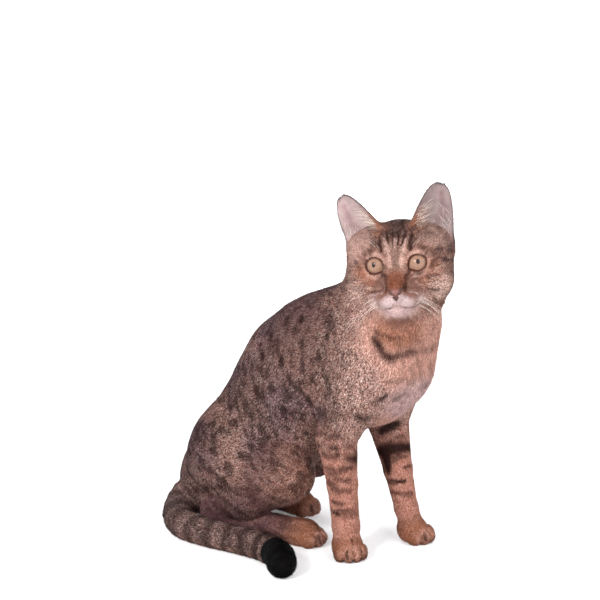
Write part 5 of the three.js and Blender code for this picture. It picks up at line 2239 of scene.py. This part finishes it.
def bowl(turns=72, bends=10):
    """The floor: a disc whose rim turns up a quarter circle into a round wall, in metres."""
    angle = np.linspace(0, np.pi / 2, bends)
    radii = BOWL["flat"] + BOWL["bend"] * np.sin(angle)
    heights = BOWL["bend"] * (1 - np.cos(angle))
    radii, heights = np.append(radii, radii[-1]), np.append(heights, BOWL["height"])
    turn = np.linspace(0, 2 * np.pi, turns, endpoint=False)
    rings = [radii[:, None] * np.cos(turn), radii[:, None] * np.sin(turn), heights[:, None] + 0 * turn]
    rings = np.stack(np.broadcast_arrays(*rings), -1).reshape(-1, 3)
    middle, _ = caps(len(radii), turns)
    return np.vstack([rings, [0, 0, 0]]), np.vstack([grid_faces(len(radii), turns)[:, ::-1], middle])


def add_floor(scene, stage):
    """The floor as a smooth mesh in its own material."""
    points, faces = bowl()
    mesh = bpy.data.meshes.new("floor")
    mesh.from_pydata(points.tolist(), [], faces.tolist())
    mesh.polygons.foreach_set("use_smooth", np.full(len(faces), True))
    mesh.materials.append(floor_material(stage.floor))
    ground = bpy.data.objects.new("floor", mesh)
    scene.collection.objects.link(ground)
    ground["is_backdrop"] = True


def add_light(scene, name, place, width, power):
    """A round soft light at a place in metres, turned towards the middle of the cat."""
    light = bpy.data.lights.new(name, "AREA")
    light.shape, light.size, light.energy = "DISK", width, power
    lamp = bpy.data.objects.new(name, light)
    lamp.location = place
    lamp.rotation_euler = (Vector(metres(at(LIT))) - lamp.location).to_track_quat("-Z", "Y").to_euler()
    scene.collection.objects.link(lamp)


def add_camera(scene, stage):
    """The camera at its place, pitched from level and turned about the upright."""
    lens = bpy.data.cameras.new("camera")
    lens.lens, lens.sensor_width = stage.lens, SENSOR
    lens.clip_start, lens.clip_end = CLIP
    camera = bpy.data.objects.new("camera", lens)
    camera.location = metres(at(CAMERA["place"]))
    camera.rotation_euler = np.radians([90 + CAMERA["pitch"], 0, CAMERA["turn"]])
    scene.collection.objects.link(camera)
    scene.camera = camera


class CAT_OT_stage(bpy.types.Operator):
    """Adds the pale floor, the soft lights and the camera"""

    bl_idname = "cat.stage"
    bl_label = "Add Stage"

    def execute(self, context):
        scene = context.scene
        stage = scene.cat_stage
        scene.view_settings.view_transform = "Standard"
        add_floor(scene, stage)
        scene.world = scene.world or bpy.data.worlds.new("studio")
        scene.world.use_nodes = True
        sky = scene.world.node_tree.nodes["Background"]
        sky.inputs["Color"].default_value = (1, 1, 1, 1)
        sky.inputs["Strength"].default_value = stage.sky
        for name, (place, width) in LIGHTS.items():
            add_light(scene, name, metres(at(place)), width, getattr(stage, name))
        add_camera(scene, stage)
        return {"FINISHED"}


OPERATORS = [CAT_OT_stage, CAT_OT_skin, CAT_OT_coat, CAT_OT_eyes, CAT_OT_nose, CAT_OT_long_hairs]
GROUPS = {"cat_colours": CatColours, "cat_sizes": CatSizes, "cat_stage": CatStage}


class CAT_PT_sidebar(bpy.types.Panel):
    """Lists the cat's settings and its operators"""

    bl_label = "Sitting Cat"
    bl_idname = "CAT_PT_sidebar"
    bl_space_type = "VIEW_3D"
    bl_region_type = "UI"
    bl_category = "Cat"

    def draw(self, context):
        for key, group in GROUPS.items():
            box = self.layout.box()
            for name in group.__annotations__:
                box.prop(getattr(context.scene, key), name)
        for operator in OPERATORS:
            self.layout.operator(operator.bl_idname)


def register():
    """Registers the settings, the operators and the panel."""
    for item in [*GROUPS.values(), *OPERATORS, CAT_PT_sidebar]:
        bpy.utils.register_class(item)
    for key, group in GROUPS.items():
        setattr(bpy.types.Scene, key, bpy.props.PointerProperty(type=group))


def unregister():
    """Takes back what register did, the other way round."""
    for key in GROUPS:
        delattr(bpy.types.Scene, key)
    for item in reversed([*GROUPS.values(), *OPERATORS, CAT_PT_sidebar]):
        bpy.utils.unregister_class(item)


def main():
    """Registers the add-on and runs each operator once."""
    register()
    for operator in OPERATORS:
        category, name = operator.bl_idname.split(".")
        getattr(getattr(bpy.ops, category), name)()
    boxes = {"cad": CAD_BOX, "visual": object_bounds()}
    {name: [list(corner) for corner in box] for name, box in boxes.items()}


if __name__ == "__main__":
    main()
